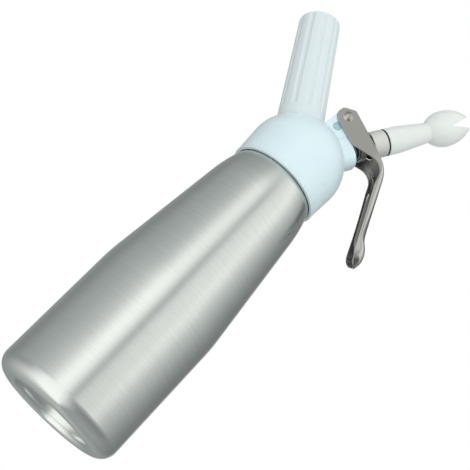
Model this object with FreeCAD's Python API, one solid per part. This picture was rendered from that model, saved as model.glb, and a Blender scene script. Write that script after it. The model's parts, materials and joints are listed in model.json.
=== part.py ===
import FreeCAD, Part
import math
import os

from FreeCAD import Vector

# Whipped cream dispenser, half-litre class, in millimetres.
# Origin: centre of the ring that the bottle stands on. +Z is the bottle's axis.
# The nozzle and the lever lean towards +X, the gas charger holder towards -X.

# ---------------------------------------------------------------- driving dimensions

# Bottle: drawn aluminium, one piece
BODY_R = 40.0
BODY_TOP_Z = 87.5
BODY_BLEND_R = 120.0
WALL = 1.6
BASE_EDGE_R = 9.0
RECESS_R = 26.4
RECESS_EDGE_R = 3.0
RECESS_DEPTH = 12.0
RECESS_CROWN = (12.0, 60.0)
RECESS_CORNER_R = 8.0
RECESS_DRAFT = 1.2
SHOULDER_CORNER = (31.3, 177.5)
SHOULDER_BLEND_R = 100.0
SHOULDER_INNER_R = 90.0
SKIRT_Z = 188.2
BOTTLE_R_AT_SKIRT = 27.9
LEDGE_RISE = 1.8
NECK_R = 24.0
NECK_BASE_Z = 192.3
MOUTH_Z = 206.5

# Head: moulded plastic, one piece
SKIRT_BORE_R = 28.3
SKIRT_R = 29.9
SKIRT_LIP_R = 1.2
DOME_R = 31.3
DOME_Z = 208.9
HEAD_BORE_R = 25.9
HEAD_BORE_Z = 194.1
GASKET_T = 2.5
GASKET_IN_R = 19.5
CAVITY_R = 18.0

# The two arms start on the bottle's axis and lean in the XZ plane
VALVE_CROSS_Z = 208.7
VALVE_TILT = 30.0
HOLDER_CROSS_Z = 207.2
HOLDER_TILT = 29.6

# Valve arm: every station is a distance along the arm from the bottle's axis
SEAT_S = 14.4
SEAT_BOSS_R = 9.5
CHAMBER_R = 6.0
BUSHING_S = 21.9
SPRING_BORE_S = 30.9
SPRING_BORE_R = 8.0
BOSS_START_S = 10.0
BOSS_END_S = 38.1
BOSS_R = 11.5
BOSS_CORNER_R = 8.0
BOSS_EDGE_R = 1.2
STEM_R = 4.0
STEM_BORE_R = 2.2
SHANK_R = 3.0
STEM_INNER_S = 6.4
STEM_GROOVE_S = 25.9
STEM_END_S = 66.7
RUNNING_GAP = 0.05
CAP_S = 45.2
CAP_T = 2.0
CAP_R = 8.3
CAP_SKIRT = 2.0
COLLAR_RING_S = 51.6
COLLAR_S = 52.8
COLLAR_R = 8.5
COLLAR_END_S = 63.1
STUB_R = 6.1
STUB_END_S = 70.7

# Decorator nozzle
NOZZLE_S = 63.9
NOZZLE_R = 8.75
NOZZLE_TAPER_S = 73.4
NOZZLE_NECK_R = 6.4
BULB_R = 11.7
BULB_S = 107.4
BULB_BACK_ARC_R = 17.0
BULB_FRONT_ARC_R = 25.0
NOZZLE_TIP_R = 1.6
NOZZLE_WALL = 1.3
NOTCH_ROOT_S = 108.0
NOTCH_ROOT_W = 0.7
NOTCH_MOUTH_S = 130.0
NOTCH_MOUTH_W = 10.4
NOTCH_COUNT = 4
NOTCH_TURN = 15.0

# Charger arm: stations along the holder's axis from the bottle's axis
HOLDER_SEAT_S = 28.5
HOLDER_SEAT_R = 15.9
HOLDER_BASE_S = 28.8
HOLDER_BASE_R = 14.9
HOLDER_TOP_S = 105.0
HOLDER_TOP_R = 13.25
HOLDER_TOP_EDGE_R = 2.8
HOLDER_THREAD_R = 12.2
HOLDER_THREAD_END_S = 44.1
HOLDER_ROOF = 3.4
FLUTE_COUNT = 10
FLUTE_START_S = 36.0
FLUTE_DEPTH = 0.75
FLUTE_CUTTER_R = 3.2
FLUTE_TURN = 18.0
SOCKET_TOP_S = 43.1
SOCKET_R = 10.9
SOCKET_FLANGE_R = 11.7
SOCKET_SHANK_R = 7.0
SOCKET_SHANK_S = 21.6
SOCKET_FLOOR_S = 35.0
SOCKET_WASHER_T = 0.8
SOCKET_FLANGE_T = 2.0
GAS_WAY_R = 3.0
CHECK_VALVE_LENGTH = 6.4
PIERCING_REACH = 5.6

# Gas charger: the standard 8 g cartridge
CHARGER_R = 8.95
CHARGER_LENGTH = 65.0
CHARGER_NECK_R = 4.0
CHARGER_NECK_LENGTH = 9.0
CHARGER_SHOULDER = 7.5
CHARGER_WALL = 1.1
PIN_GASKET_T = 1.0

# Lever: one stamped strip, folded into a channel
SHEET = 1.1
EAR_Y = 10.95
PIVOT = (4.7, 253.6)
EAR_TOP = (5.9, 260.4)
EAR_HEEL = ((-2.0, 250.5, 4.5), (-1.2, 256.5, 5.0))
EAR_BELLY = ((18.6, 240.7, 12.0), (2.2, 246.5, 5.0))
LEVER_BACK_CORNER = (44.8, 245.0)
LEVER_BACK_R = 20.0
LEVER_FRONT_CORNER = (40.3, 245.9)
LEVER_FRONT_R = 9.0
HANDLE_SLOPE = math.degrees(math.atan(0.415))
HANDLE_LENGTH = 65.3
HANDLE_SHOULDER_HALF = 8.4
HANDLE_WAIST_HALF = 7.2
HANDLE_CUP_HALF = 8.2
CHANNEL_DEPTH = 4.3
CUP_START = 51.0
CUP_RAMP = 5.0
CUP_BULGE = 2.9
CUP_TIP_DROP = 2.2
LEVER_FOLD_R = 2.2
FOLD_START_X = 33.0
PIN_R = 2.5
RIVET_HEAD_R = 3.3
RIVET_HEAD_H = 1.3
THRUST_PIN_R = 1.2
THRUST_PIN_S = 48.45
THRUST_PIN_LENGTH = 4.6

# Lug that carries the lever's pivot
LUG_HALF = 9.55
LUG_END_R = 6.2
LUG_EDGE_R = 0.8
LUG_FOOT = (-4.0, 233.5)
DIMPLE = (4.0, 243.9)
DIMPLE_R = 3.0
DIMPLE_DEPTH = 1.4

# ---------------------------------------------------------------- helpers


def at(r, z):
    """A point of a profile, drawn in the XZ plane."""
    return Vector(r, 0, z)


def corner_cut(before, corner, after, radius):
    """Ends and middle of the arc that rounds one corner between two straight runs."""
    into = (before - corner).normalize()
    out = (after - corner).normalize()
    half = math.acos(max(-1.0, min(1.0, into.dot(out)))) / 2
    reach = radius / math.tan(half)
    bisector = (into + out).normalize()
    middle = corner + bisector * (radius / math.sin(half) - radius)
    return corner + into * reach, middle, corner + out * reach


def rounded_wire(points):
    """Closed wire through (x, z) or (x, z, radius) corners, each rounded by a tangent arc."""
    corners = [at(p[0], p[1]) for p in points]
    radii = [p[2] if len(p) > 2 else 0.0 for p in points]
    pieces = []
    count = len(points)
    for i, corner in enumerate(corners):
        if radii[i] > 0:
            pieces.append(corner_cut(corners[i - 1], corner, corners[(i + 1) % count], radii[i]))
        else:
            pieces.append((corner, None, corner))
    edges = []
    for i, (start, middle, end) in enumerate(pieces):
        if middle is not None:
            edges.append(Part.Arc(start, middle, end).toShape())
        following = pieces[(i + 1) % count][0]
        run = corners[(i + 1) % count] - corners[i]
        if (following - end).dot(run) < -1e-6:
            raise ValueError("roundings overlap after corner %d: %s" % (i, points[i]))
        if end.distanceToPoint(following) > 1e-6:
            edges.append(Part.LineSegment(end, following).toShape())
    return Part.Wire(edges)


def inset_line(points, distance):
    """Open line of (x, z, radius) corners, moved sideways to its right with its radii kept concentric."""
    spots = [Vector(p[0], p[1], 0) for p in points]
    runs = [(b - a).normalize() for a, b in zip(spots, spots[1:])]
    moved = []
    for i, spot in enumerate(spots):
        before = runs[max(i - 1, 0)]
        after = runs[min(i, len(runs) - 1)]
        side = Vector(before.y + after.y, -before.x - after.x, 0)
        spot = spot + side * (distance / (1 + before.dot(after)))
        bend = 1 if before.cross(after).z > 0 else -1
        radius = points[i][2] + bend * distance if points[i][2] else 0.0
        moved.append((spot.x, spot.y, radius))
    return moved


def turned(points):
    """Solid of revolution about +Z from rounded (r, z) corners."""
    face = Part.Face(rounded_wire(points))
    return face.revolve(Vector(0, 0, 0), Vector(0, 0, 1), 360)


def cylinder(radius, low, high):
    """Upright cylinder between two heights."""
    return Part.makeCylinder(radius, high - low, at(0, low))


def ring(inner, outer, low, high, edge=0.0):
    """Flat ring with its outer and inner edges rounded."""
    return turned([(inner, low, edge), (outer, low, edge), (outer, high, edge), (inner, high, edge)])


def plate(points, low_y, high_y):
    """Straight plate: an XZ outline with rounded corners, between two Y planes."""
    face = Part.Face(rounded_wire(points))
    face.translate(Vector(0, low_y, 0))
    return face.extrude(Vector(0, high_y - low_y, 0))


def on_valve_arm(shape):
    """Carry a part drawn about +Z, with its stations as heights, onto the valve arm."""
    placed = shape.copy()
    placed.rotate(Vector(0, 0, 0), Vector(0, 1, 0), VALVE_TILT)
    placed.translate(at(0, VALVE_CROSS_Z))
    return placed


def on_holder_arm(shape):
    """Carry a part drawn about +Z onto the charger arm."""
    placed = shape.copy()
    placed.rotate(Vector(0, 0, 0), Vector(0, 1, 0), -HOLDER_TILT)
    placed.translate(at(0, HOLDER_CROSS_Z))
    return placed


def valve_point(across, station):
    """(x, z) of a point given across and along the valve arm."""
    tilt = math.radians(VALVE_TILT)
    x = across * math.cos(tilt) + station * math.sin(tilt)
    z = VALVE_CROSS_Z - across * math.sin(tilt) + station * math.cos(tilt)
    return x, z


def arc_edge(centre, radius, start_deg, end_deg):
    """Arc in the XZ plane; angles run from +X towards +Z."""
    def spot(degrees):
        angle = math.radians(degrees)
        return at(centre[0] + radius * math.cos(angle), centre[1] + radius * math.sin(angle))
    return Part.Arc(spot(start_deg), spot((start_deg + end_deg) / 2), spot(end_deg)).toShape()


def tangent_point(foot, centre, radius, side):
    """Where the line from foot touches a circle; side +1 is its left, -1 its right."""
    dx = centre[0] - foot[0]
    dz = centre[1] - foot[1]
    span = math.hypot(dx, dz)
    turn = math.asin(radius / span) * side
    reach = math.sqrt(span ** 2 - radius ** 2)
    angle = math.atan2(dz, dx) + turn
    return foot[0] + reach * math.cos(angle), foot[1] + reach * math.sin(angle)


# ---------------------------------------------------------------- bottle


def bottle():
    """Drawn can: deep base recess, straight wall, long taper, curved shoulder, plain neck."""
    taper = (BODY_R - SHOULDER_CORNER[0]) / (SHOULDER_CORNER[1] - BODY_TOP_Z)
    lean = (SHOULDER_CORNER[0] - BOTTLE_R_AT_SKIRT) / (SKIRT_Z - SHOULDER_CORNER[1])
    ledge_z = SKIRT_Z + LEDGE_RISE
    ledge_r = BOTTLE_R_AT_SKIRT - lean * (ledge_z - SKIRT_Z)
    crown_r, crown_blend_r = RECESS_CROWN
    recess_corner = (RECESS_R - RECESS_DRAFT, RECESS_DEPTH - 2.0)
    return turned([
        (0, RECESS_DEPTH),
        (crown_r, RECESS_DEPTH, crown_blend_r),
        (recess_corner[0], recess_corner[1], RECESS_CORNER_R),
        (RECESS_R, 0.0, RECESS_EDGE_R),
        (BODY_R, 0.0, BASE_EDGE_R),
        (BODY_R, BODY_TOP_Z, BODY_BLEND_R),
        (SHOULDER_CORNER[0], SHOULDER_CORNER[1], SHOULDER_BLEND_R),
        (ledge_r, ledge_z, 1.2),
        (NECK_R, NECK_BASE_Z, 1.0),
        (NECK_R, MOUTH_Z, 0.5),
        (NECK_R - WALL, MOUTH_Z, 0.5),
        (NECK_R - WALL, NECK_BASE_Z - WALL, 1.5),
        (ledge_r - WALL, ledge_z - WALL, 1.2),
        (SHOULDER_CORNER[0] - WALL, SHOULDER_CORNER[1] - WALL * taper, SHOULDER_INNER_R),
        (BODY_R - WALL, BODY_TOP_Z - WALL * taper / 2, BODY_BLEND_R),
        (BODY_R - WALL, WALL, BASE_EDGE_R - WALL),
        (RECESS_R + WALL, WALL, RECESS_EDGE_R - WALL),
        (recess_corner[0] + WALL, recess_corner[1] + WALL, RECESS_CORNER_R + WALL),
        (crown_r, RECESS_DEPTH + WALL, crown_blend_r),
        (0, RECESS_DEPTH + WALL),
    ])


def head_gasket():
    """Silicone ring between the bottle's mouth and the head's ceiling."""
    return ring(GASKET_IN_R, HEAD_BORE_R - 0.4, MOUTH_Z, MOUTH_Z + GASKET_T, 0.4)


# ---------------------------------------------------------------- head


def dome():
    """Skirt and dome outside, neck bore and hollow crown inside."""
    ceiling = MOUTH_Z + GASKET_T
    skirt = turned([
        (0, SKIRT_Z),
        (SKIRT_R, SKIRT_Z, SKIRT_LIP_R),
        (DOME_R, DOME_Z),
        (0, DOME_Z),
    ])
    crown_face = Part.Face(Part.Wire([
        Part.LineSegment(at(0, DOME_Z), at(DOME_R, DOME_Z)).toShape(),
        arc_edge((0, DOME_Z), DOME_R, 0, 90),
        Part.LineSegment(at(0, DOME_Z + DOME_R), at(0, DOME_Z)).toShape(),
    ]))
    crown = crown_face.revolve(Vector(0, 0, 0), Vector(0, 0, 1), 360)
    bore = turned([
        (0, SKIRT_Z - 1),
        (SKIRT_BORE_R, SKIRT_Z - 1),
        (SKIRT_BORE_R, HEAD_BORE_Z, 0.8),
        (HEAD_BORE_R, HEAD_BORE_Z + 1.0, 0.5),
        (HEAD_BORE_R, ceiling, 0.5),
        (0, ceiling),
    ])
    hollow = Part.makeSphere(CAVITY_R, at(0, ceiling))
    return skirt.fuse(crown).removeSplitter(), bore.fuse(hollow)


def valve_boss():
    """Boss with flat sides, where the lever's ears pass, and broad round corners."""
    section = Part.Face(rounded_wire([
        (-BOSS_R, -LUG_HALF, BOSS_CORNER_R),
        (BOSS_R, -LUG_HALF, BOSS_CORNER_R),
        (BOSS_R, LUG_HALF, BOSS_CORNER_R),
        (-BOSS_R, LUG_HALF, BOSS_CORNER_R),
    ]))
    section.rotate(Vector(0, 0, 0), Vector(1, 0, 0), 90)
    section.translate(at(0, BOSS_START_S))
    boss = section.extrude(at(0, BOSS_END_S - BOSS_START_S))
    rim = [edge for edge in boss.Edges if edge.BoundBox.ZMin > BOSS_END_S - 0.01]
    return on_valve_arm(boss.makeFillet(BOSS_EDGE_R, rim))


def pivot_lug():
    """Flat-sided lug that rises beside the boss and ends round about the pivot."""
    left = tangent_point(LUG_FOOT, PIVOT, LUG_END_R, 1)
    pivot_across = (PIVOT[0] * math.cos(math.radians(VALVE_TILT))
                    - (PIVOT[1] - VALVE_CROSS_Z) * math.sin(math.radians(VALVE_TILT)))
    side = pivot_across + LUG_END_R
    pivot_reach = math.hypot(PIVOT[0], PIVOT[1] - VALVE_CROSS_Z)
    pivot_s = math.sqrt(pivot_reach ** 2 - pivot_across ** 2)
    web = plate([
        LUG_FOOT,
        left,
        PIVOT,
        valve_point(side, pivot_s),
        valve_point(side, BOSS_END_S - 0.6),
        valve_point(side + 6, BOSS_END_S - 0.6),
        valve_point(side + 6, BOSS_START_S + 8),
    ], -LUG_HALF, LUG_HALF)
    eye = Part.makeCylinder(LUG_END_R, 2 * LUG_HALF, Vector(PIVOT[0], -LUG_HALF, PIVOT[1]), Vector(0, 1, 0))
    return web.fuse(eye)


def valve_mass():
    """Boss and lug in one, with the lug's long edges rounded above the boss."""
    mass = valve_boss().fuse(pivot_lug()).removeSplitter()
    edges = []
    for edge in mass.Edges:
        box = edge.BoundBox
        on_side = box.YLength < 0.01 and abs(abs(box.YMin) - LUG_HALF) < 0.01
        middle = edge.CenterOfMass
        if on_side and middle.z > DIMPLE[1] - 6 and middle.x < PIVOT[0] + LUG_END_R + 1:
            edges.append(edge)
    return mass.makeFillet(LUG_EDGE_R, edges)


def lug_dimples():
    """Shallow round moulding dish, one in each side of the lug."""
    ball_r = (DIMPLE_R ** 2 + DIMPLE_DEPTH ** 2) / (2 * DIMPLE_DEPTH)
    reach = LUG_HALF - DIMPLE_DEPTH + ball_r
    return [Part.makeSphere(ball_r, Vector(DIMPLE[0], side * reach, DIMPLE[1])) for side in (-1, 1)]


def head_housing():
    """Moulded head: skirt, dome, valve boss, pivot lug and seat for the charger holder."""
    outside, inside = dome()
    seat_collar = on_holder_arm(cylinder(HOLDER_SEAT_R, 12, HOLDER_SEAT_S))
    seat_space = on_holder_arm(cylinder(HOLDER_SEAT_R, HOLDER_SEAT_S, 45))
    solid = outside.fuse([seat_collar, valve_mass()])
    solid = solid.cut(inside)
    valve_seat = on_valve_arm(cylinder(SEAT_BOSS_R, SEAT_S, BUSHING_S))
    solid = solid.fuse(valve_seat)
    pin_bore = Part.makeCylinder(
        PIN_R + RUNNING_GAP, 3 * LUG_HALF, Vector(PIVOT[0], -1.5 * LUG_HALF, PIVOT[1]), Vector(0, 1, 0))
    cuts = [
        seat_space,
        on_valve_arm(cylinder(CHAMBER_R, SEAT_S - 1, SPRING_BORE_S)),
        on_valve_arm(cylinder(SPRING_BORE_R, SPRING_BORE_S, BOSS_END_S + 1)),
        on_holder_arm(cylinder(SOCKET_SHANK_R, SOCKET_SHANK_S, HOLDER_SEAT_S + 1)),
        on_holder_arm(cylinder(1.5, 10, SOCKET_SHANK_S + 1)),
        pin_bore,
    ]
    return solid.cut(cuts + lug_dimples()).removeSplitter()


# ---------------------------------------------------------------- charger side


def charger_socket():
    """Turned metal socket: shank in the head, flange, and the tower the holder screws onto."""
    flange_s = HOLDER_SEAT_S + SOCKET_WASHER_T
    neck_room_r = CHARGER_NECK_R + 1.1
    solid = turned([
        (0, SOCKET_SHANK_S),
        (SOCKET_SHANK_R, SOCKET_SHANK_S),
        (SOCKET_SHANK_R, flange_s),
        (SOCKET_FLANGE_R, flange_s),
        (SOCKET_FLANGE_R, flange_s + SOCKET_FLANGE_T),
        (SOCKET_R, flange_s + SOCKET_FLANGE_T),
        (SOCKET_R, SOCKET_TOP_S, 0.8),
        (0, SOCKET_TOP_S),
    ])
    neck_room = turned([
        (0, SOCKET_FLOOR_S),
        (neck_room_r, SOCKET_FLOOR_S),
        (neck_room_r, SOCKET_TOP_S - 1.5),
        (neck_room_r + 1.9, SOCKET_TOP_S + 0.5),
        (0, SOCKET_TOP_S + 0.5),
    ])
    gas_way = cylinder(GAS_WAY_R, SOCKET_SHANK_S - 1, SOCKET_FLOOR_S + 1)
    return on_holder_arm(solid.cut([neck_room, gas_way]))


def socket_gasket():
    """Fibre washer under the socket's flange."""
    outer_r = SOCKET_FLANGE_R - 0.5
    return on_holder_arm(ring(SOCKET_SHANK_R, outer_r, HOLDER_SEAT_S, HOLDER_SEAT_S + SOCKET_WASHER_T))


def piercing_pin():
    """Hollow steel pin that opens the charger's seal."""
    foot_s = SOCKET_SHANK_S + 0.6 + CHECK_VALVE_LENGTH
    shoulder_s = SOCKET_FLOOR_S - 0.2
    point_s = SOCKET_FLOOR_S + PIERCING_REACH
    needle_r = 1.0
    solid = turned([
        (0, foot_s),
        (GAS_WAY_R, foot_s, 0.3),
        (GAS_WAY_R, shoulder_s),
        (needle_r, shoulder_s),
        (needle_r, point_s - 1.4),
        (0.15, point_s),
        (0, point_s),
    ])
    gas_way = cylinder(needle_r / 2, foot_s - 1, point_s - 2.0)
    side_hole = Part.makeCylinder(0.3, 4, Vector(-2, 0, point_s - 3.4), Vector(1, 0, 0))
    return on_holder_arm(solid.cut([gas_way, side_hole]))


def pin_gasket():
    """Small seal that the charger's neck is pressed against."""
    return on_holder_arm(ring(1.3, CHARGER_NECK_R + 0.8, SOCKET_FLOOR_S, SOCKET_FLOOR_S + PIN_GASKET_T))


def check_valve():
    """Rubber duckbill below the pin: gas goes in, cream stays out."""
    lip_s = SOCKET_SHANK_S + 0.6
    top_s = lip_s + CHECK_VALVE_LENGTH
    flange_s = top_s - 1.4
    body_r = 2.2
    skin = 0.9
    solid = turned([
        (0, lip_s),
        (skin, lip_s, 0.3),
        (body_r, lip_s + 4.0, 1.0),
        (body_r, flange_s),
        (GAS_WAY_R, flange_s),
        (GAS_WAY_R, top_s),
        (0, top_s),
    ])
    pocket = turned([
        (0, lip_s + 1.4),
        (0.3, lip_s + 1.4),
        (body_r - skin, lip_s + 4.4),
        (body_r - skin, top_s + 1),
        (0, top_s + 1),
    ])
    slit = Part.makeBox(1.0, 0.2, 2.6, Vector(-0.5, -0.1, SOCKET_SHANK_S))
    return on_holder_arm(solid.cut([pocket, slit]))


def gas_charger():
    """Drawn steel cartridge, neck down, with its seal pierced."""
    low = SOCKET_FLOOR_S + PIN_GASKET_T
    neck_end = low + CHARGER_NECK_LENGTH
    high = low + CHARGER_LENGTH
    shoulder = neck_end + CHARGER_SHOULDER
    skin = CHARGER_WALL
    outer = turned([
        (0, low),
        (CHARGER_NECK_R, low, 0.6),
        (CHARGER_NECK_R, neck_end, 3.0),
        (CHARGER_R, shoulder, 6.0),
        (CHARGER_R, high, 6.5),
        (0, high),
    ])
    gas = turned([
        (0, low + 1.6),
        (CHARGER_NECK_R - skin, low + 1.6, 0.3),
        (CHARGER_NECK_R - skin, neck_end + skin, 3.0),
        (CHARGER_R - skin, shoulder + skin, 5.0),
        (CHARGER_R - skin, high - skin, 5.4),
        (0, high - skin),
    ])
    pierced = cylinder(1.15, low - 1, low + 3)
    return on_holder_arm(outer.cut(gas).cut(pierced))


def holder_flutes():
    """Soft grooves that follow the holder's taper and end square near its base."""
    lean = math.degrees(math.atan((HOLDER_BASE_R - HOLDER_TOP_R) / (HOLDER_TOP_S - HOLDER_BASE_S)))
    start_r = HOLDER_BASE_R - (FLUTE_START_S - HOLDER_BASE_S) * math.tan(math.radians(lean))
    reach = start_r + FLUTE_CUTTER_R - FLUTE_DEPTH
    length = HOLDER_TOP_S - FLUTE_START_S + 4
    cutter = Part.makeCylinder(FLUTE_CUTTER_R, length, Vector(reach, 0, FLUTE_START_S))
    cutter.rotate(Vector(reach, 0, FLUTE_START_S), Vector(0, 1, 0), -lean)
    cutters = []
    for i in range(FLUTE_COUNT):
        groove = cutter.copy()
        groove.rotate(Vector(0, 0, 0), Vector(0, 0, 1), FLUTE_TURN + i * 360 / FLUTE_COUNT)
        cutters.append(groove)
    return cutters


def charger_holder():
    """Moulded cup, tapered and fluted, that screws down over the gas charger."""
    roof_s = HOLDER_TOP_S - HOLDER_ROOF
    solid = turned([
        (0, HOLDER_BASE_S),
        (HOLDER_BASE_R, HOLDER_BASE_S, 0.5),
        (HOLDER_TOP_R, HOLDER_TOP_S - 0.5, HOLDER_TOP_EDGE_R),
        (0, HOLDER_TOP_S + 0.3),
    ])
    inside = turned([
        (0, HOLDER_BASE_S - 1),
        (HOLDER_THREAD_R, HOLDER_BASE_S - 1),
        (HOLDER_THREAD_R, HOLDER_THREAD_END_S, 0.5),
        (CHARGER_R + 0.3, HOLDER_THREAD_END_S + 3.0),
        (CHARGER_R + 0.3, roof_s, 6.0),
        (0, roof_s),
    ])
    return on_holder_arm(solid.cut(holder_flutes()).cut(inside))


# ---------------------------------------------------------------- valve


def valve_stem():
    """Hollow sliding stem: shank for the seal, side holes, O-ring groove, tube to the nozzle."""
    solid = turned([
        (0, STEM_INNER_S),
        (SHANK_R, STEM_INNER_S, 0.5),
        (SHANK_R, SEAT_S),
        (STEM_R, SEAT_S, 0.2),
        (STEM_R, STEM_GROOVE_S),
        (SHANK_R, STEM_GROOVE_S),
        (SHANK_R, STEM_GROOVE_S + 1.3),
        (STEM_R, STEM_GROOVE_S + 1.3),
        (STEM_R, STEM_END_S, 0.3),
        (0, STEM_END_S),
    ])
    way = cylinder(STEM_BORE_R, SEAT_S + 2.5, STEM_END_S + 1)
    cross = Part.makeCylinder(1.6, 12, Vector(-6, 0, SEAT_S + 4.2), Vector(1, 0, 0))
    other = Part.makeCylinder(1.6, 12, Vector(0, -6, SEAT_S + 4.2), Vector(0, 1, 0))
    return on_valve_arm(solid.cut([way, cross, other]))


def valve_lock_nut():
    """Hexagon nut that clamps the seal to the stem."""
    low, high, across_flats = STEM_INNER_S + 1.0, SEAT_S - 4.0, 10.0
    corner_r = across_flats / math.sqrt(3)
    turns = [math.radians(60 * i) for i in range(6)]
    corners = [Vector(corner_r * math.cos(turn), corner_r * math.sin(turn), low) for turn in turns]
    prism = Part.Face(Part.makePolygon(corners + corners[:1])).extrude(at(0, high - low))
    return on_valve_arm(prism.cut(cylinder(SHANK_R, low - 1, high + 1)))


def seat_washer():
    """Steel washer that backs the seal."""
    return on_valve_arm(ring(SHANK_R, 7.5, SEAT_S - 4.0, SEAT_S - 3.0))


def seat_gasket():
    """Rubber disc that closes on the head's seat."""
    return on_valve_arm(ring(SHANK_R, 8.3, SEAT_S - 3.0, SEAT_S, 0.3))


def stem_o_ring():
    """O-ring in the stem's groove, sliding in the bushing."""
    cord_r = 0.5
    return on_valve_arm(Part.makeTorus(SHANK_R + cord_r, cord_r, at(0, STEM_GROOVE_S + 0.65)))


def valve_bushing():
    """Guide pressed into the boss; the stem slides in it and the spring stands on it."""
    return on_valve_arm(ring(STEM_R + RUNNING_GAP, CHAMBER_R, BUSHING_S, SPRING_BORE_S))


def valve_spring():
    """Compression spring with five coils about the stem."""
    wire_r, mean_r, pitch = 0.6, 6.0, 2.6
    low = SPRING_BORE_S + wire_r
    high = CAP_S - wire_r
    helix = Part.makeHelix(pitch, high - low, mean_r)
    helix.translate(at(0, low))
    section = Part.Wire(Part.makeCircle(wire_r, at(mean_r, low), Vector(0, mean_r, pitch / (2 * math.pi))))
    coil = Part.Wire(helix).makePipeShell([section], True, True)
    return on_valve_arm(coil)


def spring_cap():
    """Cup washer fixed on the stem: the spring pushes it out, the lever pushes it in."""
    low = CAP_S - CAP_SKIRT
    return on_valve_arm(turned([
        (STEM_R, CAP_S),
        (CAP_R - 1.1, CAP_S),
        (CAP_R - 1.1, low),
        (CAP_R, low),
        (CAP_R, CAP_S + CAP_T, 0.6),
        (STEM_R, CAP_S + CAP_T),
    ]))


def collar_ring():
    """Dark spacer ring at the collar's inner end."""
    return on_valve_arm(ring(STEM_R, COLLAR_R - 0.2, COLLAR_RING_S, COLLAR_S, 0.3))


def nozzle_collar():
    """Knurled adapter fixed on the stem; its stub takes the nozzle's thread."""
    return on_valve_arm(turned([
        (STEM_R, COLLAR_S),
        (COLLAR_R, COLLAR_S, 0.4),
        (COLLAR_R, COLLAR_END_S, 0.4),
        (STUB_R, COLLAR_END_S),
        (STUB_R, STUB_END_S, 0.5),
        (STEM_BORE_R + 0.8, STUB_END_S),
        (STEM_BORE_R + 0.8, STEM_END_S),
        (STEM_R, STEM_END_S),
    ]))


def nozzle_o_ring():
    """Seal between collar and nozzle; it turns with the nozzle, so it has a little play on the collar."""
    low = COLLAR_END_S + RUNNING_GAP
    return on_valve_arm(ring(STUB_R + RUNNING_GAP, COLLAR_R + 0.1, low, NOZZLE_S, 0.35))


# ---------------------------------------------------------------- nozzle


def nozzle_profile(skin):
    """Closed face of the tube and tulip, drawn in by skin."""
    back_r = BULB_BACK_ARC_R - skin
    front_r = BULB_FRONT_ARC_R - skin
    neck_r = NOZZLE_NECK_R - skin
    back_c = (BULB_R - BULB_BACK_ARC_R, BULB_S)
    front_c = (BULB_R - BULB_FRONT_ARC_R, BULB_S)
    neck_deg = math.degrees(math.acos((neck_r - back_c[0]) / back_r))
    tip_r = max(NOZZLE_TIP_R - skin, 0.2)
    tip_deg = math.degrees(math.acos((tip_r - front_c[0]) / front_r))
    back = arc_edge(back_c, back_r, -neck_deg, 0)
    front = arc_edge(front_c, front_r, 0, tip_deg)
    neck_z = back_c[1] - back_r * math.sin(math.radians(neck_deg))
    tip_z = BULB_S + front_r * math.sin(math.radians(tip_deg))
    spots = [at(0, tip_z), at(0, NOZZLE_S), at(NOZZLE_R - skin, NOZZLE_S),
             at(NOZZLE_R - skin - 0.15, NOZZLE_TAPER_S), at(neck_r, neck_z)]
    edges = [back, front, Part.LineSegment(at(tip_r, tip_z), spots[0]).toShape()]
    for a, b in zip(spots, spots[1:]):
        edges.append(Part.LineSegment(a, b).toShape())
    return Part.Face(Part.Wire(Part.__sortEdges__(edges)))


def notch_cutters():
    """V wedges across the axis: each opens two of the tulip's notches."""
    root = NOTCH_ROOT_W / 2
    mouth = NOTCH_MOUTH_W / 2
    cutters = []
    for i in range(NOTCH_COUNT // 2):
        wedge = plate([
            (-root, NOTCH_ROOT_S),
            (root, NOTCH_ROOT_S),
            (mouth, NOTCH_MOUTH_S),
            (-mouth, NOTCH_MOUTH_S),
        ], -20, 20)
        wedge.rotate(Vector(0, 0, 0), Vector(0, 0, 1), NOTCH_TURN + i * 360 / NOTCH_COUNT)
        cutters.append(wedge)
    return cutters


def decorator_nozzle():
    """Long moulded nozzle that swells into a notched tulip tip."""
    outer = nozzle_profile(0.0).revolve(Vector(0, 0, 0), Vector(0, 0, 1), 360)
    inner = nozzle_profile(NOZZLE_WALL).revolve(Vector(0, 0, 0), Vector(0, 0, 1), 360)
    thread_room = cylinder(STUB_R + 1.2, NOZZLE_S - 1, STUB_END_S + 0.8)
    tip_hole = cylinder(NOZZLE_TIP_R - 0.4, BULB_S, BULB_S + 30)
    return on_valve_arm(outer.cut([inner, thread_room, tip_hole]).cut(notch_cutters()))


# ---------------------------------------------------------------- lever


def handle_point(along, across):
    """(x, z) in the handle's own frame: along it from the back corner, across it outwards."""
    slope = math.radians(HANDLE_SLOPE)
    x = LEVER_BACK_CORNER[0] + along * math.sin(slope) + across * math.cos(slope)
    z = LEVER_BACK_CORNER[1] - along * math.cos(slope) + across * math.sin(slope)
    return x, z


def lever_back():
    """Back line of the lever: ears, bend, straight handle and the bulge of its cup."""
    return [
        EAR_TOP + (0.0,),
        LEVER_BACK_CORNER + (LEVER_BACK_R,),
        handle_point(CUP_START, 0) + (6.0,),
        handle_point(CUP_START + CUP_RAMP, CUP_BULGE) + (5.0,),
        handle_point(HANDLE_LENGTH, CUP_BULGE - CUP_TIP_DROP) + (0.0,),
    ]


def lever_side():
    """Side outline: round ear end, deep ears, bend, shallow handle, deeper cup."""
    back = lever_back()
    back[0] = EAR_TOP + (1.0,)
    return list(EAR_HEEL) + back + [
        handle_point(HANDLE_LENGTH, -CHANNEL_DEPTH),
        handle_point(12.0, -CHANNEL_DEPTH - 0.5) + (40.0,),
        LEVER_FRONT_CORNER + (LEVER_FRONT_R,),
    ] + list(EAR_BELLY)


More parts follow.
